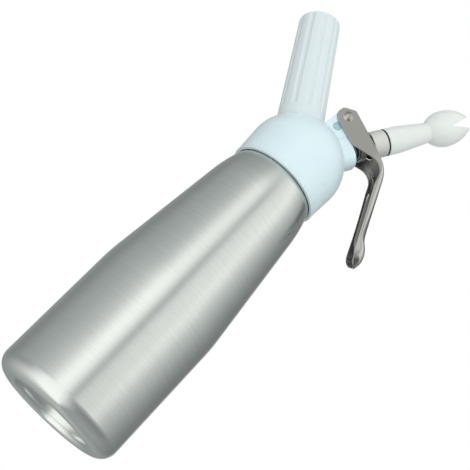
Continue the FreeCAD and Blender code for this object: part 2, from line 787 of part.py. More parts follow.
def lever_hollow():
    """All that lies inside the back line, one sheet deep."""
    line = inset_line(lever_back(), SHEET)
    deep = [handle_point(HANDLE_LENGTH, -90), (EAR_TOP[0], LEVER_BACK_CORNER[1] - 90)]
    return plate(line + deep, -20, 20).common(lever_plan(SHEET))


def lever_plan(skin):
    """Half-width along the handle, seen square to it, as a plate ready to intersect."""
    ears = EAR_Y - skin
    cup = HANDLE_CUP_HALF - skin
    outline = [
        (-60, ears),
        (-1, ears, 12),
        (12, HANDLE_SHOULDER_HALF - skin, 20),
        (46, HANDLE_WAIST_HALF - skin, 30),
        (55, cup, 12),
        (HANDLE_LENGTH - skin, cup, cup - 0.8),
    ]
    mirrored = [(p[0], -p[1]) + tuple(p[2:]) for p in reversed(outline)]
    face = Part.Face(rounded_wire(outline + mirrored))
    solid = face.extrude(Vector(0, 200, 0))
    solid.translate(Vector(0, -100, 0))
    # The outline lies with "along" on X and "half-width" on Z: turn it into the handle's frame.
    solid.rotate(Vector(0, 0, 0), Vector(1, 0, 0), 90)
    solid.rotate(Vector(0, 0, 0), Vector(0, 1, 0), 90 - HANDLE_SLOPE)
    solid.translate(at(LEVER_BACK_CORNER[0], LEVER_BACK_CORNER[1]))
    return solid


def folded(solid, line, radius):
    """Round the edges of a solid's back, which follows an open line, past the start of the fold."""
    past = Part.makeBox(80, 60, 200, Vector(FOLD_START_X, -30, VALVE_CROSS_Z - 90))
    bend = solid.common(past)
    skin = plate(line + inset_line(line, 0.02)[::-1], -30, 30)
    backs = [face for face in bend.Faces if all(skin.isInside(v.Point, 0.03, True) for v in face.Vertexes)]
    edges = []
    for edge in bend.Edges:
        sides = bend.ancestorsOfType(edge, Part.Face)
        shared = [side for side in sides if any(side.isSame(face) for face in backs)]
        if len(shared) == 1 and max(v.X for v in edge.Vertexes) > FOLD_START_X + 0.01:
            edges.append(edge)
    return solid.cut(past).fuse(bend.makeFillet(radius, edges)).removeSplitter()


def lever():
    """Stamped steel lever: two ears about the boss, joined by the channel of the handle."""
    outer = folded(plate(lever_side(), -20, 20).common(lever_plan(0.0)), lever_back(), LEVER_FOLD_R)
    hollow = folded(lever_hollow(), inset_line(lever_back(), SHEET), LEVER_FOLD_R - SHEET)
    between = plate([valve_point(-60, -20), valve_point(0, -20), valve_point(0, 90), valve_point(-60, 90)],
                    -(EAR_Y - SHEET), EAR_Y - SHEET)
    notch = on_valve_arm(Part.makeCylinder(EAR_Y - SHEET, 110, at(0, -20)))
    pivot_hole = Part.makeCylinder(PIN_R, 40, Vector(PIVOT[0], -20, PIVOT[1]), Vector(0, 1, 0))
    return outer.cut([hollow, between, notch, pivot_hole])


def lever_pivot_pin():
    """Rivet through both ears and the lug, with low domed heads."""
    shaft = Part.makeCylinder(PIN_R, 2 * EAR_Y, Vector(0, -EAR_Y, 0), Vector(0, 1, 0))
    sphere_r = (RIVET_HEAD_R ** 2 + RIVET_HEAD_H ** 2) / (2 * RIVET_HEAD_H)
    solid = shaft
    for side in (-1, 1):
        ball = Part.makeSphere(sphere_r, Vector(0, side * (EAR_Y + RIVET_HEAD_H - sphere_r), 0))
        slab = Part.makeCylinder(RIVET_HEAD_R, RIVET_HEAD_H, Vector(0, side * EAR_Y, 0), Vector(0, side, 0))
        solid = solid.fuse(ball.common(slab))
    solid.translate(at(*PIVOT))
    return solid


def lever_thrust_pins():
    """Two short pins welded inside the ears, which press on the spring cap."""
    x, z = valve_point(0, THRUST_PIN_S)
    pins = []
    for side in (-1, 1):
        foot = Vector(x, side * (EAR_Y - SHEET), z)
        pins.append(Part.makeCylinder(THRUST_PIN_R, THRUST_PIN_LENGTH, foot, Vector(0, -side, 0)))
    return Part.makeCompound(pins)


# ---------------------------------------------------------------- write the parts

PARTS = {
    "bottle": bottle,
    "head_gasket": head_gasket,
    "head_housing": head_housing,
    "charger_socket": charger_socket,
    "socket_gasket": socket_gasket,
    "piercing_pin": piercing_pin,
    "pin_gasket": pin_gasket,
    "check_valve": check_valve,
    "gas_charger": gas_charger,
    "charger_holder": charger_holder,
    "valve_stem": valve_stem,
    "valve_lock_nut": valve_lock_nut,
    "seat_washer": seat_washer,
    "seat_gasket": seat_gasket,
    "stem_o_ring": stem_o_ring,
    "valve_bushing": valve_bushing,
    "valve_spring": valve_spring,
    "spring_cap": spring_cap,
    "collar_ring": collar_ring,
    "nozzle_collar": nozzle_collar,
    "nozzle_o_ring": nozzle_o_ring,
    "decorator_nozzle": decorator_nozzle,
    "lever": lever,
    "lever_pivot_pin": lever_pivot_pin,
    "lever_thrust_pins": lever_thrust_pins,
}

os.makedirs("parts", exist_ok=True)
for node, make in PARTS.items():
    shape = make()
    shape.exportStep("parts/" + node + ".step")
    box = shape.BoundBox
    print("%-18s valid %s  solids %d  volume %9.1f mm3  z %.1f to %.1f"
          % (node, shape.isValid(), len(shape.Solids), shape.Volume, box.ZMin, box.ZMax))
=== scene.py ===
# %% [markdown]
# A whipped cream dispenser: an aluminium bottle, a moulded head, a fluted holder for the gas charger,
# a valve with a stamped lever and a long nozzle. The construction model gives every rigid form at its
# real size. This lesson gives those forms their finishes and adds what a construction model leaves out:
# knurling, screw threads, the coils of the spring and the light they are seen in.

# %% Load the construction model
import bpy
import json
import math
from mathutils import Matrix, Quaternion, Vector


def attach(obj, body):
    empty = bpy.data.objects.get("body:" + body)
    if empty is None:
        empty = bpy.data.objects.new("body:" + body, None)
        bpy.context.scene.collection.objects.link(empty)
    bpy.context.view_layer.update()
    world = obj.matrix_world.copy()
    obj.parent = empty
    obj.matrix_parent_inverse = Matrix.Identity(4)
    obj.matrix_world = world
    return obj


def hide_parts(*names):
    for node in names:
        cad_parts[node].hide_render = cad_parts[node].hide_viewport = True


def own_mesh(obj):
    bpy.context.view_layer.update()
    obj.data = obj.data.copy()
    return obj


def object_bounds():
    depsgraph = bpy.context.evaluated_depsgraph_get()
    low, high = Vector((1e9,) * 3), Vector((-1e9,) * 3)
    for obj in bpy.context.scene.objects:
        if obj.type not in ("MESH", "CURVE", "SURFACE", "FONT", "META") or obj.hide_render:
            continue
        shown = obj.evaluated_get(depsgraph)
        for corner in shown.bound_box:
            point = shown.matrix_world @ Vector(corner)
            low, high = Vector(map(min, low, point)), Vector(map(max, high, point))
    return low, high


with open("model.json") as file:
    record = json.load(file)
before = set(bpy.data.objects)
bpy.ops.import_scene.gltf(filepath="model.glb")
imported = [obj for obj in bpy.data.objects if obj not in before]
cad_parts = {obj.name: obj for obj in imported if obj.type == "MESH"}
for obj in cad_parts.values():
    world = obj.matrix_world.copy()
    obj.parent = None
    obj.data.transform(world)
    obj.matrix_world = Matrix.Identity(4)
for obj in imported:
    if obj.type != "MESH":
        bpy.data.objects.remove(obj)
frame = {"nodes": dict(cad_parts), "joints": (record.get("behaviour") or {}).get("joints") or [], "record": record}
nodes = frame["nodes"]
cad_low, cad_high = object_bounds()
print("pieces in the construction model:", len(nodes))

# %% [markdown]
# Two arms stand on the bottle's axis and lean apart. The joints of the frame already hold both lines,
# so the pieces that are turned about an arm take their axis from there.

# %% The arms' axes
joints = {joint["name"]: joint for joint in frame["joints"]}
MM = 0.001


def arm(joint_name):
    """Start and direction of the line that a turning piece is built about."""
    joint = joints[joint_name]
    return Vector(joint["pos_m"]), Vector(joint["axis"]).normalized()


valve_start, valve_axis = arm("nozzle_turn")
holder_start, holder_axis = arm("holder_turn")
print("valve arm leans", round(math.degrees(valve_axis.angle((0, 0, 1))), 1), "degrees")

# %% [markdown]
# The camera looks slightly up at the dispenser, which lies across the picture. A rotation matrix says
# that best: its columns are the camera's right, up and back directions.

# %% Camera
IMAGE_PX = 470
FOCAL_PX = 957.56
CENTRE_PX = (252.42, 267.11)
SENSOR_MM = 36.0
CAMERA_PLACE = Vector((0.03551, -0.52020, -0.06651))
CAMERA_BACK = Vector((0.01861, -0.92876, -0.37022)).normalized()
CAMERA_ROLL = math.radians(43.26)


def camera_turn():
    """Rotation with the camera's right, up and back directions as its columns."""
    level_right = Vector((0, 0, 1)).cross(CAMERA_BACK).normalized()
    right = Quaternion(CAMERA_BACK, CAMERA_ROLL) @ level_right
    up = CAMERA_BACK.cross(right)
    return Matrix((right, up, CAMERA_BACK)).transposed().to_4x4()


def make_camera():
    """Lens, place and roll of the one camera."""
    data = bpy.data.cameras.new("camera")
    data.sensor_width = SENSOR_MM
    data.lens = FOCAL_PX / IMAGE_PX * SENSOR_MM
    data.shift_x = (IMAGE_PX / 2 - CENTRE_PX[0]) / IMAGE_PX
    data.shift_y = (CENTRE_PX[1] - IMAGE_PX / 2) / IMAGE_PX
    data.clip_start = 0.01
    camera = bpy.data.objects.new("camera", data)
    bpy.context.scene.collection.objects.link(camera)
    camera.matrix_world = Matrix.Translation(CAMERA_PLACE) @ camera_turn()
    return camera


bpy.context.scene.camera = make_camera()
bpy.context.scene.view_settings.view_transform = "Standard"
print("lens", round(bpy.context.scene.camera.data.lens, 2), "mm")

# %% [markdown]
# Finishes and the room are trees of nodes. A few helpers keep those trees short to write: one adds a
# node, one sets its inputs by name and one joins two sockets. The others are steps that nearly every
# tree takes: a sum, a soft mask between two values, and a blend of two colours or of two shaders.

# %% Helpers for node trees
def link(tree, start, end):
    """Join an output socket to an input socket."""
    tree.links.new(start, end)


def add(tree, kind, **settings):
    """A node with its settings; the numbers on its inputs go through put()."""
    node = tree.nodes.new(kind)
    for name, value in settings.items():
        setattr(node, name, value)
    return node


def put(node, **values):
    """Set input sockets by name, with underscores for spaces."""
    for name, value in values.items():
        node.inputs[name.replace("_", " ")].default_value = value
    return node


def feed(tree, value, socket):
    """Give an input its value, which is another node's output or a plain value."""
    if isinstance(value, bpy.types.NodeSocket):
        link(tree, value, socket)
    else:
        socket.default_value = value


def math_node(tree, operation, *values):
    """A math node fed by outputs or by plain numbers; gives back its output."""
    node = add(tree, "ShaderNodeMath", operation=operation)
    for value, socket in zip(values, node.inputs):
        feed(tree, value, socket)
    return node.outputs[0]


def soft_mask(tree, value, start, end):
    """A mask that goes softly from 0 where the value is start to 1 where it is end."""
    step = add(tree, "ShaderNodeMapRange", interpolation_type="SMOOTHSTEP")
    put(step, From_Min=start, From_Max=end)
    link(tree, value, step.inputs["Value"])
    return step.outputs[0]


def blend_colours(tree, mask, low, high):
    """A colour that goes from low to high as the mask goes from 0 to 1."""
    mix = add(tree, "ShaderNodeMix", data_type="RGBA")
    link(tree, mask, mix.inputs["Factor"])
    feed(tree, low, mix.inputs["A"])
    feed(tree, high, mix.inputs["B"])
    return mix.outputs["Result"]


def mix_shaders(tree, mask, low, high):
    """A shader that goes from one node's to another's as the mask goes from 0 to 1."""
    mix = add(tree, "ShaderNodeMixShader")
    link(tree, mask, mix.inputs["Fac"])
    link(tree, low.outputs[0], mix.inputs[1])
    link(tree, high.outputs[0], mix.inputs[2])
    return mix


def colour(red, green, blue):
    """A colour in linear light with full cover."""
    return (red, green, blue, 1.0)


WHITE = colour(1.0, 1.0, 1.0)
print("white in linear light:", WHITE)

# %% [markdown]
# Metal shows what is around it, so the room matters as much as the finish. In a studio, panels of
# card would stand round a shiny bottle. Modelled cards would also shade the plastic, so the room is a
# world shader instead. Its walls are a strip of panels over the compass direction of a ray: two tall
# bright ones left and right of the viewer and greyer stretches further round.

# %% The walls, as compass angle and brightness
# 0 degrees is the viewer's side, positive angles are towards +X.
WALL_PANELS = [
    (-180, 0.90), (-168, 0.80), (-158, 0.34), (-146, 0.31), (-134, 0.27), (-122, 0.265), (-108, 0.325),
    (-96, 0.385), (-72, 0.445), (-48, 0.55), (-36, 0.68), (-27, 0.90), (-18, 1.15), (-9, 1.15), (0, 0.92),
    (7, 0.50), (12, 0.44), (18, 0.78), (28, 0.88), (42, 0.90), (52, 1.01), (62, 0.90), (74, 0.67),
    (86, 0.54), (98, 0.43), (110, 0.335), (128, 0.24), (150, 0.20), (160, 0.25), (170, 0.80), (180, 0.90),
]
print("panels on the walls:", len(WALL_PANELS))

# %% [markdown]
# Three more strips take over as a ray's slope leaves the walls. The foot of the walls is only bright on
# the viewer's left, the floor below has an order of its own, and the upper room is softer. Each takes
# over softly between two slopes.

# %% The other tiers of the room
FOOT_PANELS = [
    (-180, 0.28), (-150, 0.28), (-134, 0.27), (-108, 0.30), (-86, 0.30), (-70, 0.42), (-58, 0.70),
    (-46, 0.95), (-36, 1.10), (-8, 1.12), (3, 0.90), (13, 0.40), (25, 0.27), (40, 0.22), (60, 0.21),
    (92, 0.22), (110, 0.26), (150, 0.20), (160, 0.28), (180, 0.28),
]
LOW_PANELS = [
    (-180, 0.50), (-155, 0.45), (-133, 0.52), (-106, 0.66), (-85, 0.85), (-60, 1.08), (-5, 1.08),
    (15, 0.62), (32, 0.34), (77, 0.34), (106, 0.36), (140, 0.33), (160, 0.36), (173, 0.50), (180, 0.50),
]
HIGH_PANELS = [
    (-180, 0.50), (-150, 0.30), (-120, 0.28), (-72, 0.36), (-36, 0.46), (-18, 0.60), (-9, 0.65),
    (10, 0.66), (20, 0.75), (36, 0.88), (52, 1.02), (62, 0.98), (75, 0.78), (86, 0.64), (98, 0.50),
    (110, 0.40), (128, 0.30), (150, 0.26), (170, 0.48), (180, 0.50),
]
# Panels, the slope at which they start to show, and the slope at which they alone show.
TIERS = [
    (FOOT_PANELS, 0.08, -0.08),
    (LOW_PANELS, 0.0, -0.95),
    (HIGH_PANELS, 0.42, 0.85),
]
print("panels in the other tiers:", [len(panels) for panels, _, _ in TIERS])

# %% [markdown]
# Dim card looks cooler than bright card, so a panel's tint follows its brightness. A colour ramp holds
# one strip of panels, and the tiers are blended over the walls one after another.

# %% What a mirror sees
DARK_TINT = (0.93, 1.0, 1.0)
BRIGHT_TINT = (0.985, 1.0, 0.965)
DIM, PALE = 0.25, 1.0


def panel_colour(brightness):
    """A panel's colour; dim panels are cooler than pale ones."""
    warmth = min(1.0, max(0.0, (brightness - DIM) / (PALE - DIM)))
    tint = [dark + (bright - dark) * warmth for dark, bright in zip(DARK_TINT, BRIGHT_TINT)]
    return colour(*[brightness * part for part in tint])


def panel_strip(tree, share, panels):
    """Colours of a strip of panels; share is the place along it, from 0 to 1."""
    strip = add(tree, "ShaderNodeValToRGB")
    strip.color_ramp.interpolation = "LINEAR"
    stops = strip.color_ramp.elements
    for index, (angle, brightness) in enumerate(panels):
        place = (angle + 180) / 360
        stop = stops[index] if index < 2 else stops.new(place)
        stop.position = place
        stop.color = panel_colour(brightness)
    link(tree, share, strip.inputs["Fac"])
    return strip.outputs["Color"]


def room_colour(tree):
    """What a mirror sees of the room in each direction."""
    direction = add(tree, "ShaderNodeSeparateXYZ")
    link(tree, add(tree, "ShaderNodeTexCoord").outputs["Generated"], direction.inputs[0])
    towards_viewer = math_node(tree, "MULTIPLY", direction.outputs["Y"], -1.0)
    compass = math_node(tree, "ARCTAN2", direction.outputs["X"], towards_viewer)
    share = put(add(tree, "ShaderNodeMapRange"), From_Min=-math.pi, From_Max=math.pi)
    link(tree, compass, share.inputs["Value"])
    seen = panel_strip(tree, share.outputs[0], WALL_PANELS)
    for panels, starts, is_full in TIERS:
        part = soft_mask(tree, direction.outputs["Z"], starts, is_full)
        seen = blend_colours(tree, part, seen, panel_strip(tree, share.outputs[0], panels))
    return seen


print("dimmest and palest panel:", [round(panel_colour(level)[0], 2) for level in (0.20, 1.15)])

# %% [markdown]
# The panels are for mirrors only. Plastic needs even light, so rays that leave a matt surface get one
# pale colour, and rays from the camera get plain white, which is the backdrop.

# %% World
MATT_LIGHT = 0.68


def make_world():
    """White for the camera, even light for matt rays, the panelled room for reflections."""
    world = bpy.data.worlds.new("room")
    bpy.context.scene.world = world
    world.use_nodes = True
    tree = world.node_tree
    tree.nodes.clear()
    rays = add(tree, "ShaderNodeLightPath")
    matt = put(add(tree, "ShaderNodeBackground"), Color=WHITE, Strength=MATT_LIGHT)
    mirrored = add(tree, "ShaderNodeBackground")
    link(tree, room_colour(tree), mirrored.inputs["Color"])
    white = put(add(tree, "ShaderNodeBackground"), Color=WHITE, Strength=1.0)
    shiny = math_node(tree, "MAXIMUM", rays.outputs["Is Glossy Ray"], rays.outputs["Is Transmission Ray"])
    seen = mix_shaders(tree, shiny, matt, mirrored)
    final = mix_shaders(tree, rays.outputs["Is Camera Ray"], seen, white)
    link(tree, final.outputs[0], add(tree, "ShaderNodeOutputWorld").inputs["Surface"])
    return world


print("nodes in the world:", len(make_world().node_tree.nodes))

# %% [markdown]
# The floor is a thin stage that only shows from above. The camera looks from below it, so its material
# is one-sided: the back is clear. It also fades out towards its rim, where it meets the white of the
# room. A plane that simply ends would leave an edge in the picture.

# %% Floor
FLOOR_R = 0.9
FLOOR_CLEAR_R = 0.30
FLOOR_DROP = 0.0002
FLOOR_COLOUR = colour(0.93, 0.93, 0.92)


def make_floor_material():
    """Pale and matt from above, clear from below and towards the rim."""
    material = bpy.data.materials.new("pale floor")
    material.use_nodes = True
    tree = material.node_tree
    surface = tree.nodes["Principled BSDF"]
    put(surface, Base_Color=FLOOR_COLOUR, Roughness=0.9)
    distance = add(tree, "ShaderNodeVectorMath", operation="LENGTH")
    link(tree, add(tree, "ShaderNodeTexCoord").outputs["Object"], distance.inputs[0])
    fade = soft_mask(tree, distance.outputs["Value"], FLOOR_CLEAR_R, FLOOR_R)
    back = add(tree, "ShaderNodeNewGeometry").outputs["Backfacing"]
    clear = math_node(tree, "MAXIMUM", fade, back)
    mix = mix_shaders(tree, clear, surface, add(tree, "ShaderNodeBsdfTransparent"))
    link(tree, mix.outputs[0], tree.nodes["Material Output"].inputs["Surface"])
    return material


def make_floor():
    """Round floor that the camera and the lamps see, and nothing mirrors."""
    bpy.ops.mesh.primitive_circle_add(
        vertices=96, radius=FLOOR_R, fill_type="NGON", location=(0, 0, -FLOOR_DROP))
    floor = bpy.context.object
    floor.name = "floor"
    floor.visible_glossy = False
    floor.visible_diffuse = False
    floor.visible_transmission = False
    floor.visible_shadow = False
    floor.data.materials.append(make_floor_material())
    return floor


print("floor spans", round(make_floor().dimensions.x, 2), "m")

# %% [markdown]
# One broad lamp near the viewer gives the matt plastic its gentle light and dark sides. A second,
# weaker one opposite keeps the far side from going dull.

# %% Lamps
def make_lamp(name, place, power, size):
    """Square area lamp that points at the dispenser's middle."""
    data = bpy.data.lights.new(name, "AREA")
    data.energy = power
    data.size = size
    lamp = bpy.data.objects.new(name, data)
    bpy.context.scene.collection.objects.link(lamp)
    middle = (cad_low + cad_high) / 2
    lamp.location = place
    lamp.rotation_mode = "QUATERNION"
    lamp.rotation_quaternion = (middle - Vector(place)).to_track_quat("-Z", "Y")
    lamp.visible_glossy = False
    lamp.visible_camera = False
    return lamp


lamps = [
    make_lamp("key lamp", (0.08, -1.0, 0.28), power=4.6, size=0.6),
    make_lamp("fill lamp", (0.6, 0.9, 0.6), power=3.0, size=0.8),
]
print("lamps:", {lamp.name: f"{lamp.data.energy:.1f} W" for lamp in lamps})

# %% [markdown]
# Several finishes share an effect, so each effect is a node group: it takes a place in the material
# and gives back a height or a mask, and the shader itself stays in the material.

# %% An empty node group
def new_group(name, inputs, outputs):
    """An empty shader group with its sockets, and the two nodes that hold them."""
    group = bpy.data.node_groups.new(name, "ShaderNodeTree")
    for label, kind, value in inputs:
        socket = group.interface.new_socket(label, in_out="INPUT", socket_type=kind)
        if value is not None:
            socket.default_value = value
    for label, kind in outputs:
        group.interface.new_socket(label, in_out="OUTPUT", socket_type=kind)
    return group, add(group, "NodeGroupInput"), add(group, "NodeGroupOutput")


print("node groups so far:", len(bpy.data.node_groups))

# %% [markdown]
# Brushing leaves hairlines. An image of scratches would repeat and smear on curved pieces, so noise
# is drawn out instead: the place that the group gets is already stretched along the brush's direction.

# %% Brushed grain
def make_grain_group():
    """Hairlines: fine noise plus a few stronger scratches."""
    group, given, result = new_group(
        "brushed grain",
        [("Place", "NodeSocketVector", None), ("Scratches", "NodeSocketFloat", 0.3)],
        [("Height", "NodeSocketFloat"), ("Tone", "NodeSocketFloat")])
    fine = put(add(group, "ShaderNodeTexNoise"), Scale=1.0, Detail=3.0, Roughness=0.7)
    broad = put(add(group, "ShaderNodeTexNoise"), Scale=0.22, Detail=2.0, Roughness=0.6)
    for noise in (fine, broad):
        link(group, given.outputs["Place"], noise.inputs["Vector"])
    scratch = add(group, "ShaderNodeMapRange")
    put(scratch, From_Min=0.62, From_Max=0.72)
    link(group, broad.outputs["Fac"], scratch.inputs["Value"])
    strength = math_node(group, "MULTIPLY", scratch.outputs[0], given.outputs["Scratches"])
    link(group, math_node(group, "SUBTRACT", fine.outputs["Fac"], strength), result.inputs["Height"])
    link(group, math_node(group, "MULTIPLY_ADD", broad.outputs["Fac"], 0.5, 0.5), result.inputs["Tone"])
    return group


GRAIN = make_grain_group()
print("shared effect:", GRAIN.name)

# %% [markdown]
# Fingers and cloths leave soft clouds on a surface, a little duller than the rest. Broad noise with
# its contrast raised gives such clouds, and each finish turns them into a small change of roughness.

# %% Handling
def make_handling_group():
    """Soft clouds: where fingers and cloths have rubbed a surface."""
    group, given, result = new_group(
        "handling",
        [("Place", "NodeSocketVector", None), ("Size", "NodeSocketFloat", 30.0)],
        [("Mask", "NodeSocketFloat")])
    cloud = put(add(group, "ShaderNodeTexNoise"), Detail=4.0, Roughness=0.55)
    link(group, given.outputs["Place"], cloud.inputs["Vector"])
    link(group, given.outputs["Size"], cloud.inputs["Scale"])
    link(group, soft_mask(group, cloud.outputs["Fac"], 0.35, 0.70), result.inputs["Mask"])
    return group


HANDLING = make_handling_group()
print("shared effect:", HANDLING.name)

# %% [markdown]
# Steel is polished first where it stands out, so its edges are brighter. The Bevel node rounds a
# surface's normal near an edge, and how far the rounded normal turns away marks the edge.

# %% Worn edge
def make_edge_group():
    """Mask of sharp edges, from how far a rounded normal turns away from the true one."""
    group, given, result = new_group(
        "worn edge",
        [("Width", "NodeSocketFloat", 0.0004)],
        [("Mask", "NodeSocketFloat")])
    rounded = add(group, "ShaderNodeBevel", samples=6)
    link(group, given.outputs["Width"], rounded.inputs["Radius"])
    turned = add(group, "ShaderNodeVectorMath", operation="DOT_PRODUCT")
    link(group, rounded.outputs["Normal"], turned.inputs[0])
    link(group, add(group, "ShaderNodeNewGeometry").outputs["Normal"], turned.inputs[1])
    spread = add(group, "ShaderNodeMapRange")
    put(spread, From_Min=0.995, From_Max=0.90)
    link(group, turned.outputs["Value"], spread.inputs["Value"])
    link(group, spread.outputs[0], result.inputs["Mask"])
    return group


WORN_EDGE = make_edge_group()
print("shared effect:", WORN_EDGE.name)

# %% [markdown]
# Moulded plastic copies its mould, whose faces are eroded by sparks and leave a very fine pebble. The
# melt also flows in slow waves. Two noises of very different size give both.

# %% Moulded skin
def make_skin_group():
    """Moulded plastic: a very fine pebble and slow waves where the melt has flowed."""
    group, given, result = new_group(
        "moulded skin",
        [("Place", "NodeSocketVector", None), ("Pebble", "NodeSocketFloat", 0.4)],
        [("Height", "NodeSocketFloat"), ("Flow", "NodeSocketFloat")])
    pebble = put(add(group, "ShaderNodeTexNoise"), Scale=2600.0, Detail=2.0)
    flow = put(add(group, "ShaderNodeTexNoise"), Scale=35.0, Detail=2.0, Distortion=0.6)
    for noise in (pebble, flow):
        link(group, given.outputs["Place"], noise.inputs["Vector"])
    fine = math_node(group, "MULTIPLY", pebble.outputs["Fac"], given.outputs["Pebble"])
    link(group, math_node(group, "ADD", fine, flow.outputs["Fac"]), result.inputs["Height"])
    link(group, flow.outputs["Fac"], result.inputs["Flow"])
    return group


SKIN = make_skin_group()
print("shared effect:", SKIN.name)

# %% [markdown]
# A finish starts as a Principled surface with its plain numbers set on the sockets. Only what changes
# over the surface is linked: colour, roughness and the normal.

# %% Helpers for finishes
def new_finish(name, **values):
    """A material with its tree, its Principled surface and a texture place in metres."""
    material = bpy.data.materials.new(name)
    material.use_nodes = True
    tree = material.node_tree
    surface = tree.nodes["Principled BSDF"]
    put(surface, **values)
    place = add(tree, "ShaderNodeTexCoord").outputs["Object"]
    return material, tree, surface, place


def use_group(tree, group, **values):
    """Place a shared effect in a material with its own values."""
    node = add(tree, "ShaderNodeGroup", node_tree=group)
    return put(node, **values)


NO_TURN = (0.0, 0.0, 0.0)
HAIRLINE_DEPTH = 0.00001
PEBBLE_DEPTH = 0.00002
BLOOM_DEPTH = 0.00003


def stretched(tree, place, scale, turn=NO_TURN):
    """A place that runs faster along some axes, after a turn, so noise is drawn out into lines."""
    turned = put(add(tree, "ShaderNodeMapping"), Rotation=turn)
    link(tree, place, turned.inputs["Vector"])
    drawn = put(add(tree, "ShaderNodeMapping"), Scale=scale)
    link(tree, turned.outputs[0], drawn.inputs["Vector"])
    return drawn.outputs[0]


def relief(tree, surface, height, distance, strength):
    """Feed a height to the surface's normal; distance is the relief's depth in metres."""
    bump = put(add(tree, "ShaderNodeBump"), Distance=distance, Strength=strength)
    link(tree, height, bump.inputs["Height"])
    link(tree, bump.outputs[0], surface.inputs["Normal"])


def between(tree, mask, low, high):
    """A number that goes from low to high as the mask goes from 0 to 1."""
    spread = put(add(tree, "ShaderNodeMapRange"), To_Min=low, To_Max=high)
    link(tree, mask, spread.inputs["Value"])
    return spread.outputs[0]


FINISHES = {}
print("effects to build finishes from:", len(bpy.data.node_groups))

# %% [markdown]
# The bottle is spun against an abrasive, so its hairlines run round it. Light then spreads along the
# bottle and stays narrow across it. The shader does that with an anisotropic reflection whose tangent
# runs round the Z axis. The base is pressed and polished instead, and its hairlines fade out there.

# %% Satin aluminium
SATIN_STARTS, SATIN_IS_FULL = 2.0 * MM, 9.0 * MM
HAIRLINES = (70.0, 70.0, 5200.0)
BRUSH_STREAKS = (30.0, 30.0, 1100.0)


def brush_tone(tree, place, grain):
    """Where the brush has left the metal darker, from fine hairlines and broader streaks."""
    brush = put(add(tree, "ShaderNodeTexNoise"), Scale=1.0, Detail=3.0, Roughness=0.75)
    link(tree, stretched(tree, place, BRUSH_STREAKS), brush.inputs["Vector"])
    streaks = put(add(tree, "ShaderNodeMapRange"), From_Min=0.32, From_Max=0.68)
    link(tree, brush.outputs["Fac"], streaks.inputs["Value"])
    both = math_node(tree, "ADD", grain.outputs["Tone"], streaks.outputs[0])
    return math_node(tree, "MULTIPLY", both, 0.6)


def make_bottle_finish():
    """Spun aluminium with circular hairlines and a brighter pressed base."""
    material, tree, surface, place = new_finish(
        "satin aluminium", Metallic=1.0, Anisotropic=0.60, Anisotropic_Rotation=0.25)
    tangent = add(tree, "ShaderNodeTangent", direction_type="RADIAL", axis="Z")
    link(tree, tangent.outputs[0], surface.inputs["Tangent"])
    grain = use_group(tree, GRAIN, Scratches=0.25)
    link(tree, stretched(tree, place, HAIRLINES), grain.inputs["Place"])
    rubbed = use_group(tree, HANDLING, Size=26.0)
    link(tree, place, rubbed.inputs["Place"])
    height = add(tree, "ShaderNodeSeparateXYZ")
    link(tree, place, height.inputs[0])
    satin = soft_mask(tree, height.outputs["Z"], SATIN_STARTS, SATIN_IS_FULL)
    roughness = math_node(tree, "ADD", between(tree, satin, 0.16, 0.23),
                          between(tree, rubbed.outputs["Mask"], 0.0, 0.035))
    link(tree, roughness, surface.inputs["Roughness"])
    tone = math_node(tree, "MULTIPLY", brush_tone(tree, place, grain), satin)
    link(tree, blend_colours(tree, tone, colour(0.87, 0.893, 0.873), colour(0.775, 0.798, 0.778)),
         surface.inputs["Base Color"])
    relief(tree, surface, math_node(tree, "MULTIPLY", grain.outputs["Height"], satin), HAIRLINE_DEPTH, 0.35)
    return material


FINISHES["bottle_aluminium"] = make_bottle_finish()
print("finish:", FINISHES["bottle_aluminium"].name)

# %% [markdown]
# The head, the holder and the nozzle are three mouldings in three slightly different plastics, and the
# bushing that guides the valve's stem is of a fourth. Light goes a little way into each, which softens
# its shadows, so they get some subsurface scattering.

# %% Moulded plastics
def make_plastic(name, base, deep, roughness, scatter):
    """Moulded plastic: a fine skin, slow flow waves and a little depth."""
    material, tree, surface, place = new_finish(
        name, Subsurface_Weight=scatter, Subsurface_Radius=(1.0, 1.0, 1.0), Subsurface_Scale=0.0025,
        Specular_IOR_Level=0.42, IOR=1.49)
    skin = use_group(tree, SKIN, Pebble=0.4)
    link(tree, place, skin.inputs["Place"])
    rubbed = use_group(tree, HANDLING, Size=45.0)
    link(tree, place, rubbed.inputs["Place"])
    link(tree, blend_colours(tree, skin.outputs["Flow"], base, deep), surface.inputs["Base Color"])
    dull = between(tree, rubbed.outputs["Mask"], roughness, roughness + 0.06)
    link(tree, dull, surface.inputs["Roughness"])
    relief(tree, surface, skin.outputs["Height"], PEBBLE_DEPTH, 0.25)
    return material


FINISHES["head_plastic"] = make_plastic(
    "ice blue plastic", colour(0.70, 0.84, 0.87), colour(0.66, 0.81, 0.845), roughness=0.27, scatter=0.25)
FINISHES["holder_plastic"] = make_plastic(
    "grey blue plastic", colour(0.70, 0.78, 0.80), colour(0.67, 0.755, 0.775), roughness=0.44, scatter=0.5)
FINISHES["nozzle_plastic"] = make_plastic(
    "milky plastic", colour(0.77, 0.82, 0.79), colour(0.74, 0.795, 0.765), roughness=0.36, scatter=0.5)
FINISHES["guide_plastic"] = make_plastic(
    "acetal", colour(0.80, 0.80, 0.76), colour(0.76, 0.76, 0.72), roughness=0.40, scatter=0.2)
print("finishes so far:", len(FINISHES))

# %% [markdown]
# The lug between the lever's ears has a round moulding hole on each side. Light enters such a hole
# badly, so it lies in shade. That shade is painted: a mask round the hole's middle gives a deeper
# colour inside the head's one finish, since a second slot would need its own faces.

# %% Painted shade in the lug's moulding hole
HOLE_MIDDLE = Vector((4.0, 0.0, 243.9)) * MM
NO_SHADE_R, FULL_SHADE_R = 3.1 * MM, 2.7 * MM


